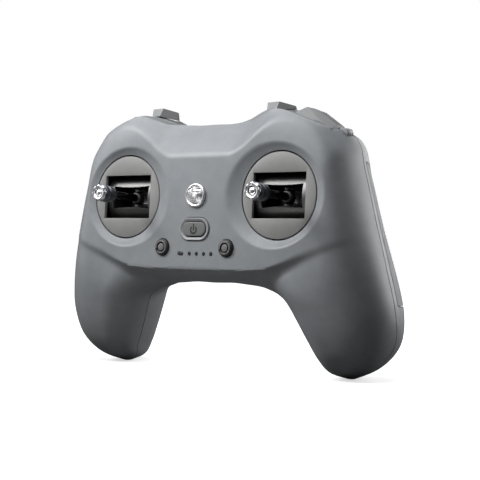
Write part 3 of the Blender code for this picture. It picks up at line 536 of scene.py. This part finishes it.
def add_dish(shape, tree, side):
    """Cove between the panel and the gimbal's hole, as a ring of quads that fills the cut."""
    count, steps = 144, 22
    rows = []
    for turn in range(count):
        angle = 2 * math.pi * turn / count
        c, s = math.cos(angle), math.sin(angle)
        rim, cut_at = dish_edge(angle), dish_edge(angle, 1.2) + 0.05
        hit = depth_at(tree, side * (GIMBAL_X + rim * c), rim * s)
        level = rim * s * math.tan(LEAN)
        drop = max(0.5, level - hit)
        line = []
        for step in range(steps + 1):
            share = step / steps
            radius = cut_at + (HOLE_R - cut_at) * share ** 1.25
            x, z = side * (GIMBAL_X + radius * c), radius * s
            inward = (radius - HOLE_R) / (rim - HOLE_R)
            cone = z * math.tan(LEAN) - drop * (inward * 1.06 - 0.06 * math.sin(math.pi * min(inward, 1)))
            surface = depth_at(tree, x, z)
            line.append((x, float(deeper(np.array(surface), np.array(cone), 0.55)), z))
        x, y, z = line[-1]
        line.append((x, y + 0.35, z))
        line.append((x, y + 2.2, z))
        rows.append(line)
    made = [[shape.verts.new(TO_ROW @ Vector(point)) for point in line] for line in rows]
    for turn in range(count):
        first, second = made[turn], made[(turn + 1) % count]
        for step in range(len(first) - 1):
            corners = [first[step], first[step + 1], second[step + 1], second[step]]
            face = shape.faces.new(corners if side < 0 else corners[::-1])
            face.smooth = True
            # The last band, running back into the hole, takes the near-black painted shade
            face.material_index = int(step > steps)


def depth_at(tree, x, z):
    hit = tree.ray_cast(Vector((x, -60.0, z)), Vector((0, 1, 0)))[0]
    return hit.y if hit else 30.0


def grid_tree(grid):
    rows, columns = grid.shape[:2]
    points, faces = [], []
    for side in (1, -1):
        base = len(points)
        points += [Vector((side * x, y, z)) for x, y, z in grid.reshape(-1, 3)]
        faces += [[base + r * columns + c, base + (r + 1) * columns + c,
                   base + (r + 1) * columns + c + 1, base + r * columns + c + 1]
                  for r in range(rows - 1) for c in range(columns - 1)]
    return BVHTree.FromPolygons(points, faces)


def make_front_shell():
    places = fine_places()
    count = 90
    turns_in = list(np.linspace(0, 84, 14))
    turns_out = list(np.linspace(84, 0, 20))
    middle = np.linspace(0, 1, count)
    outer = case_grid(places, "front", turns_in, middle, turns_out, 0.0)
    inner = case_grid(hollow_places(places), "front", turns_in, middle, turns_out, WALL)
    tree = grid_tree(outer)
    front = piece("front_shell_skin", *shell(outer, inner), "case")
    tools = []
    for side, label in SIDES:
        edge = [(side * (GIMBAL_X + dish_edge(2 * math.pi * k / 144, 1.2) * math.cos(2 * math.pi * k / 144)),
                 dish_edge(2 * math.pi * k / 144, 1.2) * math.sin(2 * math.pi * k / 144)) for k in range(144)]
        tools.append(cutter("dish_cut_" + label, prism(edge, "y", -12, 9.5)))
        hole = prism(circle(3.85, 60, (side * KNOB_X, KNOB_V)), "y", -6, 4)
        tools.append(cutter("knob_cut_" + label, hole, in_panel()))
        tools.append(shoulder_cutter("shoulder_front_cut_" + label, side))
    tools.append(cutter("bezel_cut", prism(pill(16.0, 10.2, 16, (0, -14.2)), "y", -6, 6), in_panel()))
    tools.append(cutter("eyelet_cut", prism(circle(4.7, 40), "y", -6, 6), in_panel()))
    for number, x in enumerate(LAMP_X):
        width = 3.0 if number == 0 else 1.5
        tools.append(cutter(f"lamp_cut_{number}", prism(pill(width + 0.3, 1.8, 10, (x, -24.6)), "y", -6, 6),
                            in_panel()))
    carved(front, tools)
    shape = bmesh.new()
    shape.from_mesh(front.data)
    for side, label in SIDES:
        add_dish(shape, tree, side)
    shape.to_mesh(front.data)
    shape.free()
    finished(front, "case", "case", ("front_shell",), 30)
    # Second slot: near-black painted shade for the dish walls inside the holes
    front.data.materials.append(MATERIALS["void"])


def make_back_shell():
    start, end = PAD_STATIONS
    places = fine_places((start - 0.006, start, end, end + 0.006))
    top, low = PAD_TURN[1], PAD_TURN[0]
    turns_in = list(np.linspace(0, 84, 14))
    turns_out = list(np.linspace(86, top + 3, 8)) + [top + 0.3, top]
    turns_out += list(np.linspace(top, low, 24))[1:-1] + [low, low - 0.3, 3, 0]
    middle = np.linspace(0, 1, 40)
    inset = np.zeros((len(places), len(turns_in) + len(middle) + len(turns_out)))
    rows = np.where((places >= start - 1e-6) & (places <= end + 1e-6))[0]
    first = len(turns_in) + len(middle) + 9
    inset[rows[0]:rows[-1] + 1, first:first + 24] = 1.2
    outer = case_grid(places, "back", turns_in, middle, turns_out, inset)
    inner = case_grid(hollow_places(places), "back", turns_in, middle, turns_out, 2.4)
    back = piece("back_shell_skin", *shell(outer, inner), "case")
    tools = [cutter("door_cut", box((-18.95, 28, -24.35), (18.95, 40, 17.35))),
             cutter("usb_cut", prism(pill(9.8, 4.0, 12, (0, 15.0)), "z", -42, -32)),
             cutter("setup_cut", prism(circle(2.0, 28, (0, 21.5)), "y", 28, 40))]
    for side, label in SIDES:
        slot = box((side * SWITCH_X - 2.6, SWITCH_Y - 4.3, 25), (side * SWITCH_X + 2.6, SWITCH_Y + 3.3, 45))
        tools.append(cutter("switch_cut_" + label, slot))
        tools.append(shoulder_cutter("shoulder_back_cut_" + label, side))
        for number, (x, z) in enumerate(BOSSES):
            hole = prism(circle(2.65, 28, (side * x, z)), "y", 28, 46)
            tools.append(cutter(f"screw_cut_{number}_{label}", hole))
    carved(back, tools)
    return finished(back, "case", "case", ("back_shell",), 30)


def panel_face(x):
    """Depth of the panel's surface in the panel's own frame."""
    return -PANEL_CROWN + PANEL_FALL * (abs(x) / FALL_SPAN) ** 2


# ---- Gimbals ----------------------------------------------------------------------------------

def make_faceplate(side, label):
    profile = [(0, -16.1), (17.68, -16.1), (17.8, -16.06), (17.86, -15.95), (17.86, -14.5), (0, -14.5)]
    where = in_panel(side, PIVOT_DEPTH)
    plate = piece("faceplate_" + label, *turned(profile, "y", 160), "face", frame_of=where)
    window = box((-WINDOW_W / 2, -20, -WINDOW_H / 2), (WINDOW_W / 2, -10, WINDOW_H / 2))
    carved(plate, [cutter("window_" + label, window, where)])
    bevelled(plate, 0.12, 2, 50)
    finished(plate, "face", "case", ("gimbal_faceplate_" + label,), 30)


def slot_outline():
    """Opening in the barrel: straight ends, and long edges that bow towards each other."""
    outline, half = [], 9.95
    for edge in (1, -1):
        for step in range(25):
            x = edge * half * (1 - step / 12)
            outline.append((x, edge * (4.4 + 0.6 * (x / half) ** 2)))
    return outline


def make_yoke(side, label):
    where = in_panel(side, PIVOT_DEPTH)
    skin = arc(14.2, -64, 64, 96) + arc(12.6, 64, -64, 96)
    yoke = piece("yoke_barrel_" + label, *prism(skin, "x", -12.9, 12.9), "satin", frame_of=where)
    carved(yoke, [cutter("slot_" + label, prism(slot_outline(), "y", -20, -8), where)])
    bevelled(yoke, 0.16, 3, 30)
    tools = []
    cheek = arc(13.9, -63, 63, 60) + [(6, 8.0), (6, -8.0)]
    for end in (-1, 1):
        low, high = sorted((end * 12.75, end * 11.3))
        tools.append(cutter(f"cheek_{end}_{label}", prism(cheek, "x", low, high), where))
        axle = [(0, end * 11.5), (2, end * 11.5), (2, end * 17.8), (1.75, end * 18.2), (0, end * 18.2)]
        tools.append(cutter(f"axle_{end}_{label}", turned(axle, "x", 40), where))
        low, high = sorted((end * 8.6, end * 7.0))
        shelf = box((-11.9, -9.3, low), (11.9, 5.5, high))
        tools.append(cutter(f"shelf_{end}_{label}", shelf, where))
    carved(yoke, tools, "UNION")
    bore = turned([(0, -12), (1.75, -12), (1.75, 12), (0, 12)], "z", 40)
    carved(yoke, [cutter("bore_" + label, bore, where)])
    finished(yoke, "satin", "yoke_" + label, ("gimbal_yoke_" + label,), 32)


def make_stick(side, label):
    where = in_panel(side, PIVOT_DEPTH)
    body = "stick_" + label
    half = [(8.35, 0.0), (8.4, 2.1), (8.5, 2.5), (8.78, 2.72), (8.9, 2.85), (8.9, 3.82), (8.72, 4.0),
            (1.4, 4.0), (1.4, 8.2), (1.2, 8.4), (0, 8.4)]
    profile = [(r, -along) for r, along in half[::-1]] + half[1:]
    piece("drum_" + label, *turned(profile, "z", 120), "drum", body, ("stick_drum_" + label,), where, 35)
    socket = [(0, -10.9), (2.1, -10.9), (2.6, -10.6), (2.85, -10.0), (2.85, -8.2), (0, -8.2)]
    piece("stick_socket_" + label, *turned(socket, "y", 48), "black", body, (), where, 40)
    tip = -(PIVOT_DEPTH + 19.4)
    under = tip + 1.7
    shaft = [(0, under + 0.6), (1.7, under + 0.6), (1.7, -9.2), (0, -9.2)]
    piece("shaft_" + label, *turned(shaft, "y", 48), "drum", body, ("stick_shaft_" + label,), where)
    rings = [(2.0, under + 0.28), (3.2, under + 0.28), (3.2, tip + 1.98), (3.55, tip + 2.05),
             (3.65, tip + 2.15), (3.65, tip + 2.35), (3.5, tip + 2.48), (3.42, tip + 2.55),
             (3.42, tip + 4.4), (3.5, tip + 4.5), (3.62, tip + 4.58), (3.62, tip + 4.8), (3.5, tip + 4.9),
             (3.1, tip + 4.96), (3.1, tip + 5.2), (3.42, tip + 5.26), (3.56, tip + 5.36),
             (3.56, tip + 5.56), (3.42, tip + 5.68), (3.34, tip + 5.72), (3.34, tip + 7.6),
             (3.46, tip + 7.72), (3.5, tip + 7.85), (3.5, tip + 8.1), (3.3, tip + 8.35),
             (2.9, tip + 8.68), (2.0, tip + 8.7)]
    sleeve = piece("sleeve_" + label, *turned(rings, "y", 120), "anodised", body,
                   ("stick_sleeve_" + label,), where)
    knurl(sleeve, where, 0.05)
    make_crown(label, body, where, tip)


def knurl(obj, where, height):
    """Fine flutes along the straight bands of the sleeve."""
    back = where.inverted()
    for vertex in obj.data.vertices:
        place = back @ vertex.co
        radius = math.hypot(place.x, place.z)
        if 3.3 < radius < 3.44:
            swing = math.cos(30 * math.atan2(place.z, place.x))
            scale = 1 + height * swing / radius
            vertex.co = where @ Vector((place.x * scale, place.y, place.z * scale))


def make_crown(label, body, where, tip):
    """Bright stick end: eight teeth round a raised ring, a recess and a domed middle."""
    count = 144
    layers = [(0.0, 1.7, 0), (3.2, 1.7, 0), (3.45, 1.62, 1), (3.66, 1.4, 1), (3.7, 1.1, 1),
              (3.68, 0.6, 1), (3.55, 0.3, 1), (3.3, 0.1, 0.8), (3.05, 0.0, 0.3), (2.7, 0.0, 0),
              (2.5, 0.08, 0), (2.38, 0.3, 0), (2.3, 0.75, 0), (2.15, 0.9, 0), (1.55, 0.9, 0),
              (1.42, 0.8, 0), (1.36, 0.5, 0), (1.2, 0.3, 0), (0.9, 0.16, 0), (0.5, 0.08, 0),
              (0.0, 0.06, 0)]
    points, rings = [], []
    for radius, drop, toothed in layers:
        if radius == 0:
            rings.append([len(points)])
            points.append((0, tip + drop, 0))
            continue
        rings.append(list(range(len(points), len(points) + count)))
        for step in range(count):
            angle = 2 * math.pi * step / count
            notch = max(0.0, math.cos(8 * angle)) ** 0.6
            r = radius - 0.62 * toothed * (1 - min(1.0, notch * 1.6))
            points.append((r * math.cos(angle), tip + drop, r * math.sin(angle)))
    faces = []
    for first, second in zip(rings, rings[1:]):
        for step in range(count):
            after = (step + 1) % count
            corners = [first[step % len(first)], first[after % len(first)],
                       second[after % len(second)], second[step % len(second)]]
            faces.append(tuple(dict.fromkeys(corners)))
    piece("crown_" + label, points, faces, "chrome", body, ("stick_tip_" + label,), where, 30)


# ---- Panel controls ---------------------------------------------------------------------------

def make_eyelet():
    rim = [(4.0, 2.6), (4.4, 2.6), (4.4, -2.7), (4.9, -2.75), (5.05, -2.9), (5.05, -3.1), (4.98, -3.35),
           (4.8, -3.55), (4.55, -3.66), (4.3, -3.64), (4.12, -3.5), (4.02, -3.3), (4.0, -2.8)]
    piece("eyelet_rim", *turned(rim, "y", 120), "chrome", "case", (), in_panel(), 40)
    bowl = [(0, 2.6), (3.97, 2.6), (3.97, -2.8), (3.9, -2.82), (3.84, -1.6), (3.62, -0.5), (3.2, 0.4),
            (2.6, 1.05), (1.8, 1.55), (0.9, 1.83), (0, 1.9)]
    piece("eyelet_cup", *turned(bowl, "y", 120), "bowl", "case", ("lanyard_eyelet",), in_panel(), 40)
    bar = [(0, -2.5), (0.6, -2.5), (0.7, -2.35), (0.7, 2.35), (0.6, 2.5), (0, 2.5)]
    piece("eyelet_bar", *turned(bar, "x", 40, (-2.0, 2.0)), "bowl", "case", ("lanyard_bar",), in_panel(), 40)


def make_power():
    layers = [(0.0, 0.4), (0.0, -2.6), (0.02, -2.88), (0.08, -3.04), (0.2, -3.14), (0.34, -3.17),
              (0.5, -3.13), (0.8, -2.99), (1.1, -2.82), (1.36, -2.65), (1.46, -2.55), (1.5, -2.4),
              (1.5, 0.4)]
    outlines = [[placed("y", u, v, along)
                 for u, v in pill(15.4 - 2 * inset, 9.6 - 2 * inset, 24, (0, POWER_V))]
                for inset, along in layers]
    points, faces = loft(outlines, False)
    count, total = len(outlines[0]), len(points)
    faces += [(i, (i + 1) % count, total - count + (i + 1) % count, total - count + i) for i in range(count)]
    piece("power_ring", points, faces, "bezel", "case", ("power_bezel",), in_panel(), 50)
    edge = [(0, 0.2), (0, -2.9), (0.05, -3.08), (0.17, -3.2), (0.35, -3.25), (1.0, -3.26)]
    cap = rounded_stack(12.0, 6.0, edge, (0, POWER_V), 24)
    piece("power_cap", *cap, "button", "power", ("power_button",), in_panel(), 50)
    make_power_symbol()


def make_power_symbol():
    """The usual sign for power, as a thin dark inlay: an open ring and a bar."""
    low, high, centre = -3.285, -3.1, POWER_V - 0.35
    points, faces = [], []
    inner, outer, count = 1.08, 1.86, 36
    for step in range(count + 1):
        angle = math.radians(90 + 38 + 284 * step / count)
        for radius in (inner, outer):
            for along in (low, high):
                points.append(placed("y", radius * math.cos(angle), centre + radius * math.sin(angle), along))
    for step in range(count):
        a, b = 4 * step, 4 * step + 4
        faces += [(a, a + 2, b + 2, b), (a + 1, b + 1, b + 3, a + 3),
                  (a, b, b + 1, a + 1), (a + 2, a + 3, b + 3, b + 2)]
    last = 4 * count
    faces += [(0, 1, 3, 2), (last, last + 2, last + 3, last + 1)]
    piece("power_symbol_ring", points, faces, "ink", "power", (), in_panel())
    outline = [(0.36 * math.cos(a), 1.2 * s + 0.36 * math.sin(a)) for s, start in ((1, 0), (-1, math.pi))
               for a in [start + math.pi * k / 10 for k in range(11)]]
    outline = [(u, centre + 1.1 + v) for u, v in outline]
    piece("power_symbol_bar", *prism(outline, "y", low, high), "ink", "power", (), in_panel())


def make_lamps():
    for number, x in enumerate(LAMP_X):
        width = LAMP_PILL_W if number == 0 else LAMP_D
        top = panel_face(x) + 0.16
        lens = rounded_stack(width, LAMP_D, [(0, 7.6), (0, top + 0.1), (0.06, top + 0.02), (0.18, top)],
                             (x, LAMP_V), 12)
        piece(f"lamp_{number + 1}", *lens, "lamp", "case", (f"light_pipe_{number + 1}",), in_panel(), 50)


def make_trim_knob(side, label):
    where = TO_ROW @ PANEL @ Matrix.Translation((side * KNOB_X, 0, KNOB_V))
    body = "trim_" + label
    profile = [(0, 1.6), (1.2, 1.6), (1.2, 0.2), (3.4, 0.2), (3.6, 0.0), (3.6, -2.9), (3.5, -3.15),
               (3.3, -3.4), (3.12, -3.62), (2.95, -3.72), (2.7, -3.74), (2.3, -3.7), (2.15, -3.5),
               (2.05, -3.1), (1.9, -3.0), (1.7, -3.1), (1.62, -3.5), (1.5, -3.6), (0, -3.62)]
    knob = piece("knob_" + label, *turned(profile, "y", 120), "knob", frame_of=where)
    angle = math.radians(208)
    c, s = math.cos(angle), math.sin(angle)
    mark = [(1.6 * c - 0.6 * s, 1.6 * s + 0.6 * c), (4.2 * c - 0.6 * s, 4.2 * s + 0.6 * c),
            (4.2 * c + 0.6 * s, 4.2 * s - 0.6 * c), (1.6 * c + 0.6 * s, 1.6 * s - 0.6 * c)]
    carved(knob, [cutter("knob_mark_" + label, prism(mark, "y", -5, -3.3), where)])
    finished(knob, "knob", body, ("trim_knob_" + label,), 40)
    disc = [(0, -3.5), (1.5, -3.5), (1.54, -3.62), (1.48, -3.72), (1.34, -3.77), (0, -3.78)]
    piece("knob_disc_" + label, *turned(disc, "y", 72), "knob_face", body, (), where, 50)
    halo = [(2.2, -3.66), (2.24, -3.82), (2.36, -3.86), (2.6, -3.85), (2.74, -3.8), (2.8, -3.66),
            (2.76, -3.6), (2.24, -3.6)]
    ring = piece("knob_ring_" + label, *turned(halo, "y", 96), "knob_face", frame_of=where)
    carved(ring, [cutter("knob_gap_" + label, prism(mark, "y", -5, -3.3), where)])
    finished(ring, "knob_face", body, (), 50)


# ---- Shoulders --------------------------------------------------------------------------------

def make_mode_switch(side, label):
    where = TO_ROW @ Matrix.Translation((side * SWITCH_X, SWITCH_Y, SWITCH_PIVOT_Z))
    plan = [(-7.7, 2.0), (0.0, -2.5), (7.7, 2.0), (7.2, 3.2), (0.0, 3.2), (-7.2, 3.2)]
    floors = [6.2, 6.1, 4.0, 4.0, 6.1, 6.2] if side < 0 else [4.0, 6.1, 6.2, 6.2, 6.1, 4.0]
    bottom = [(x, y, z) for (x, y), z in zip(plan, floors)]
    top = [(-7.1, 2.2, 9.9), (0.0, 0.2, 9.9), (7.1, 2.2, 7.8), (6.8, 3.2, 7.5), (0.0, 3.2, 9.4),
           (-6.8, 3.2, 9.4)]
    points, faces = loft([bottom, top])
    ends = [(0, 1, 4, 5), (1, 2, 3, 4), (6, 7, 10, 11), (7, 8, 9, 10)]
    faces = ends + faces[2:]
    paddle = piece("paddle_" + label, points, faces, "switch", frame_of=where)
    bevelled(paddle, 0.28, 3, 12)
    finished(paddle, "switch", "switch_" + label, ("mode_switch_" + label,), 9)
    # Painted shade: facets facing right take the dark base colour, standing in for the shade they fall in
    darker_right(paddle, "switch_dark")
    make_switch_base(side, label, where, floors)
    neck = piece("paddle_neck_" + label, *box((-2, -1.2, 0), (2, 1.2, 6.9)), "black", frame_of=where)
    bevelled(neck, 0.3, 3, 30)
    finished(neck, "black", "switch_" + label)
    pin = [(0, -3.2), (1.0, -3.2), (1.2, -3.0), (1.2, 3.0), (1.0, 3.2), (0, 3.2)]
    piece("paddle_pin_" + label, *turned(pin, "x", 32), "steel", "switch_" + label, (), where)


def darker_right(obj, finish):
    """Gives the facets right of a ridge a darker finish: a stand-in for their shade."""
    obj.data.materials.append(MATERIALS[finish])
    for face in obj.data.polygons:
        if face.normal.x > 0.3:
            face.material_index = 1


def make_switch_base(side, label, where, floors):
    """Fixed rounded cover under the paddle, on the paddle's own axis so that it clears the swing."""
    high, low = floors[1] - 0.15, min(floors) - 0.15
    line = [(-14.6, 1.2), (-12.0, 4.6), (-7.7, high), (0.0, high), (7.7, low), (9.8, low - 0.15), (14.6, 1.5)]
    if side > 0:
        line = [(-10.5, 1.5), (-7.7, low), (0.0, high), (7.7, high), (9.8, high - 0.3), (12.4, 4.3),
                (14.6, 1.2)]
    outlines = []
    for x, radius in line:
        turns = [math.radians(-62 + 124 * step / 20) for step in range(21)]
        crown = [(x, 0.62 * radius * math.sin(a), radius * math.cos(a)) for a in turns]
        outlines.append([(x, crown[0][1], 0.4)] + crown + [(x, crown[-1][1], 0.4)])
    base = piece("paddle_base_" + label, *loft(outlines), "switch_dark", frame_of=where)
    finished(base, "switch_dark", "case", (), 40)


def make_shoulder_button(side, label):
    near, far = BUTTON_Y
    skirt = [(-11.7, near), (2.6, near), (8.4, near), (8.4, far), (-2.1, far), (-8.4, far), (-11.7, far)]
    cap = [(-11.7, near, -1.6), (2.6, near, 0.2), (8.4, near, -0.9), (8.4, far, 0.1), (-2.1, far, 2.6),
           (-8.4, far, 2.4), (-11.7, far, -0.8)]
    ridge = [(-8.4, 12.5, 2.8), (-2.1, 13.5, 2.9), (7.6, 13.5, 0.5)]
    points = []
    for along, depth, out in [(a, y, -3.2) for a, y in skirt] + cap + ridge:
        x, z = shoulder_outline(side, [(along, out)])[0]
        points.append((x, depth, z))
    faces = [tuple(range(7))] + [(i, (i + 1) % 7, (i + 1) % 7 + 7, i + 7) for i in range(7)]
    faces += [(7, 8, 14), (8, 9, 16, 15, 14), (9, 10, 16), (10, 11, 15, 16), (11, 12, 14, 15), (12, 13, 14),
              (13, 7, 14)]
    button = piece("shoulder_cap_" + label, points, faces, "shoulder")
    bevelled(button, 0.3, 3, 8)
    finished(button, "shoulder", "shoulder_" + label, ("shoulder_button_" + label,), 8)
    corners = [(9.2, -3.5), (13.4, -3.5), (13.9, -0.6), (12.8, 0.7), (11.0, 0.5), (9.2, 0.1)]
    lip = prism(shoulder_outline(side, corners), "y", 13.0, 17.2)
    lip = piece("shoulder_lip_" + label, *lip, "case")
    bevelled(lip, 0.35, 3, 20)
    finished(lip, "case", "case", (), 24)


# ---- Back, pads and fasteners -----------------------------------------------------------------

def make_grip_pad(side, label):
    places = np.linspace(PAD_STATIONS[0] + 0.014, PAD_STATIONS[1] - 0.014, 90)
    turns = np.linspace(PAD_TURN[1] - 0.5, PAD_TURN[0] + 0.7, 60)
    skins = []
    for inset in (0.0, 0.9):
        grid = case_grid(places, "back", [0], [0, 1], turns, inset)[:, 3:]
        skins.append(grid * (side, 1, 1))
    rows, columns = skins[0].shape[:2]
    edge = [(row, 0) for row in range(rows)]
    edge += [(rows - 1, column) for column in range(1, columns)]
    edge += [(row, columns - 1) for row in range(rows - 2, -1, -1)]
    edge += [(0, column) for column in range(columns - 2, 0, -1)]
    points = [tuple(point) for skin in skins for point in skin.reshape(-1, 3)]
    count = rows * columns
    faces = []
    for layer in (0, 1):
        for row in range(rows - 1):
            for column in range(columns - 1):
                a = layer * count + row * columns + column
                faces.append((a, a + columns, a + columns + 1, a + 1))
    for (row, column), (next_row, next_column) in zip(edge, edge[1:] + edge[:1]):
        a, b = row * columns + column, next_row * columns + next_column
        faces.append((a, b, b + count, a + count))
    pad = piece("pad_" + label, points, faces, "grip")
    bevelled(pad, 0.25, 3, 45)
    finished(pad, "grip", "case", ("grip_pad_" + label,), 35)


def make_door():
    door = piece("door_plate", *box((-18.6, 32, -24), (18.6, 34, 17)), "case")
    grooves = []
    for number in range(5):
        z = -20.6 + 2.2 * number
        grooves.append(cutter(f"door_groove_{number}", prism(pill(15.0, 1.1, 12, (0, z)), "y", 33.45, 36)))
    carved(door, grooves)
    bevelled(door, 0.3, 3, 40)
    finished(door, "case", "door", ("battery_door",), 35)


def make_fasteners():
    seat = 32.0
    for number, (x, z) in enumerate(BOSSES):
        name = "upper" if number == 0 else "lower"
        for side, label in SIDES:
            profile = [(0, 12), (1.1, 12.6), (1.1, seat), (2.3, seat), (2.3, seat + 0.7),
                       (2.1, seat + 1.0), (1.6, seat + 1.1), (0, seat + 1.1)]
            screw = piece(f"screw_{name}_{label}", *turned(profile, "y", 40, (side * x, z)), "steel")
            socket = prism(circle(1.0, 6, (side * x, z)), "y", seat + 0.35, seat + 4)
            carved(screw, [cutter(f"socket_{name}_{label}", socket)])
            finished(screw, "steel", "case", (f"case_screw_{name}_{label}",), 35)
    dome = [(0, 24), (1.5, 24), (1.5, 33.7), (1.36, 33.95), (1.0, 34.08), (0, 34.1)]
    piece("setup_cap", *turned(dome, "y", 40, (0, 21.5)), "button", "setup", ("setup_button",))
    port = piece("usb_shroud", *prism(pill(9.0, 3.2, 20, (0, 15.0)), "z", -36.6, -29.5), "steel")
    carved(port, [cutter("usb_room", prism(pill(8.3, 2.5, 20, (0, 15.0)), "z", -38, -30.5))])
    tongue = box((-3.35, 14.65, -35.6), (3.35, 15.35, -30))
    carved(port, [cutter("usb_tongue", tongue)], "UNION")
    bevelled(port, 0.08, 2, 40)
    finished(port, "steel", "case", ("usb_port",), 35)


INSIDE = {
    "gimbal_frame": "black", "switch_body": "black", "trim_encoder": "black", "shoulder_tact": "black",
    "power_tact_switch": "black", "buzzer": "black", "front_board": "board", "main_board": "board",
    "antenna_board": "board", "pitch_sensor": "board", "roll_sensor": "board", "battery": "cell",
    "roll_spring": "steel", "pitch_spring": "steel",
}


def dress_inside():
    for name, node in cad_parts.items():
        finish = [value for key, value in INSIDE.items() if name.startswith(key)]
        node.data.materials.clear()
        node.data.materials.append(MATERIALS[finish[0] if finish else "black"])


make_front_shell()
make_back_shell()
for side, label in SIDES:
    make_faceplate(side, label)
    make_yoke(side, label)
    make_stick(side, label)
    make_trim_knob(side, label)
    make_mode_switch(side, label)
    make_shoulder_button(side, label)
    make_grip_pad(side, label)
make_eyelet()
make_power()
make_lamps()
make_door()
make_fasteners()
dress_inside()


# ---- Stage ------------------------------------------------------------------------------------

FLOOR_HALF = 40.0
FLOOR_DULL, FLOOR_SEEN, WORLD_LIGHT = 0.12, 0.62, 0.02
CAMERA_PLACE, CAMERA_LENS = (329.35, -431.69, -7.43), 96.276
CAMERA_AZIMUTH, CAMERA_ELEVATION = math.radians(35.548), math.radians(1.179)


def make_stage():
    """Pale floor; what the camera sees of it fades to white away from the object."""
    nodes = Nodes("pale_floor")
    tree = nodes.tree
    nodes.shader.inputs["Base Color"].default_value = (FLOOR_DULL, FLOOR_DULL, FLOOR_DULL, 1)
    nodes.shader.inputs["Roughness"].default_value = 0.9
    nodes.shader.inputs["Specular IOR Level"].default_value = 0.0
    lit = nodes.add("ShaderNodeBsdfDiffuse")
    nodes.link(nodes.mix(nodes.noise(3), (0.84, 0.84, 0.84), (0.86, 0.86, 0.86)), lit.inputs["Color"])
    length = nodes.add("ShaderNodeVectorMath", operation="LENGTH")
    nodes.link(nodes.place, length.inputs[0])
    fade = nodes.add("ShaderNodeMapRange")
    for key, value in (("From Min", 0.16), ("From Max", 0.6), ("To Min", FLOOR_SEEN), ("To Max", 1.0)):
        fade.inputs[key].default_value = value
    nodes.link(length.outputs["Value"], fade.inputs["Value"])
    glow = nodes.add("ShaderNodeEmission")
    nodes.link(fade.outputs["Result"], glow.inputs["Strength"])
    seen = nodes.add("ShaderNodeAddShader")
    nodes.link(lit.outputs["BSDF"], seen.inputs[0])
    nodes.link(glow.outputs["Emission"], seen.inputs[1])
    path = nodes.add("ShaderNodeLightPath")
    mix = nodes.add("ShaderNodeMixShader")
    nodes.link(path.outputs["Is Camera Ray"], mix.inputs["Fac"])
    nodes.link(nodes.shader.outputs["BSDF"], mix.inputs[1])
    nodes.link(seen.outputs["Shader"], mix.inputs[2])
    nodes.link(mix.outputs["Shader"], tree.nodes["Material Output"].inputs["Surface"])
    mesh = bpy.data.meshes.new("floor")
    half = FLOOR_HALF
    corners = [(-half, -half, 0), (half, -half, 0), (half, half, 0), (-half, half, 0)]
    mesh.from_pydata(corners, [], [(0, 1, 2, 3)])
    mesh.materials.append(nodes.material)
    floor = bpy.data.objects.new("floor", mesh)
    bpy.context.collection.objects.link(floor)


def area_light(name, place, target, size, power):
    data = bpy.data.lights.new(name, "AREA")
    data.shape = "RECTANGLE"
    data.size, data.size_y = size
    data.energy = power
    light = bpy.data.objects.new(name, data)
    light.location = place
    light.visible_camera = False
    light.rotation_euler = (Vector(target) - Vector(place)).to_track_quat("-Z", "Y").to_euler()
    bpy.context.collection.objects.link(light)
    return light


def card(name, place, target, size, power):
    """Softbox that only polished surfaces see."""
    light = area_light(name, place, target, size, power)
    light.visible_diffuse = False
    return light


def make_world():
    world = bpy.data.worlds.new("studio")
    bpy.context.scene.world = world
    world.use_nodes = True
    tree = world.node_tree
    shade_node = tree.nodes["Background"]
    shade_node.inputs["Color"].default_value = (1, 1, 1, 1)
    shade_node.inputs["Strength"].default_value = WORLD_LIGHT
    seen = tree.nodes.new("ShaderNodeBackground")
    seen.inputs["Color"].default_value = (1, 1, 1, 1)
    seen.inputs["Strength"].default_value = 1.0
    path = tree.nodes.new("ShaderNodeLightPath")
    mix = tree.nodes.new("ShaderNodeMixShader")
    tree.links.new(path.outputs["Is Camera Ray"], mix.inputs["Fac"])
    tree.links.new(shade_node.outputs["Background"], mix.inputs[1])
    tree.links.new(seen.outputs["Background"], mix.inputs[2])
    tree.links.new(mix.outputs["Shader"], tree.nodes["World Output"].inputs["Surface"])


def make_camera():
    data = bpy.data.cameras.new("camera")
    data.sensor_width = 36.0
    data.lens = CAMERA_LENS
    data.clip_start = 0.01
    camera = bpy.data.objects.new("camera", data)
    camera.location = TO_ROW @ Vector(CAMERA_PLACE)
    camera.rotation_euler = (math.pi / 2 - CAMERA_ELEVATION, 0, CAMERA_AZIMUTH)
    bpy.context.collection.objects.link(camera)
    bpy.context.scene.camera = camera


make_stage()
make_world()
make_camera()
bpy.context.scene.view_settings.view_transform = "Standard"
LIGHTS = (
    ("key", (-0.03, -0.13, 0.17), (0.0, 0.0, 0.085), (0.20, 0.08), 0.08),
    ("key_high", (-0.02, -0.13, 0.24), (0.0, 0.0, 0.08), (0.22, 0.10), 0.30),
    ("left_high", (-0.45, -0.35, 0.45), (0.0, 0.0, 0.07), (0.16, 0.16), 2.3),
    ("rim", (0.14, 0.50, 0.25), (0.07, 0.02, 0.06), (0.2, 0.3), 0.93),
    ("rim_side", (0.34, 0.26, 0.22), (0.07, 0.01, 0.06), (0.12, 0.3), 0.43),
    ("rim_low", (0.30, 0.40, 0.10), (0.08, 0.01, 0.03), (0.12, 0.2), 0.62),
    ("top", (0.0, 0.08, 0.50), (0.0, 0.0, 0.09), (0.5, 0.3), 1.3),
    ("chin_fill", (0.0, -0.085, 0.018), (0.0, 0.0, 0.045), (0.05, 0.02), 0.008),
)
for name, place, target, size, power in LIGHTS:
    area_light(name, place, target, size, power)

CARDS = (
    ("card_left", (-0.50, -0.20, 0.12), (0.0, 0.0, 0.07), (0.40, 0.50), 0.9),
    ("card_top", (-0.05, -0.25, 0.55), (0.0, 0.0, 0.07), (0.50, 0.40), 0.6),
)
for name, place, target, size, power in CARDS:
    card(name, place, target, size, power)
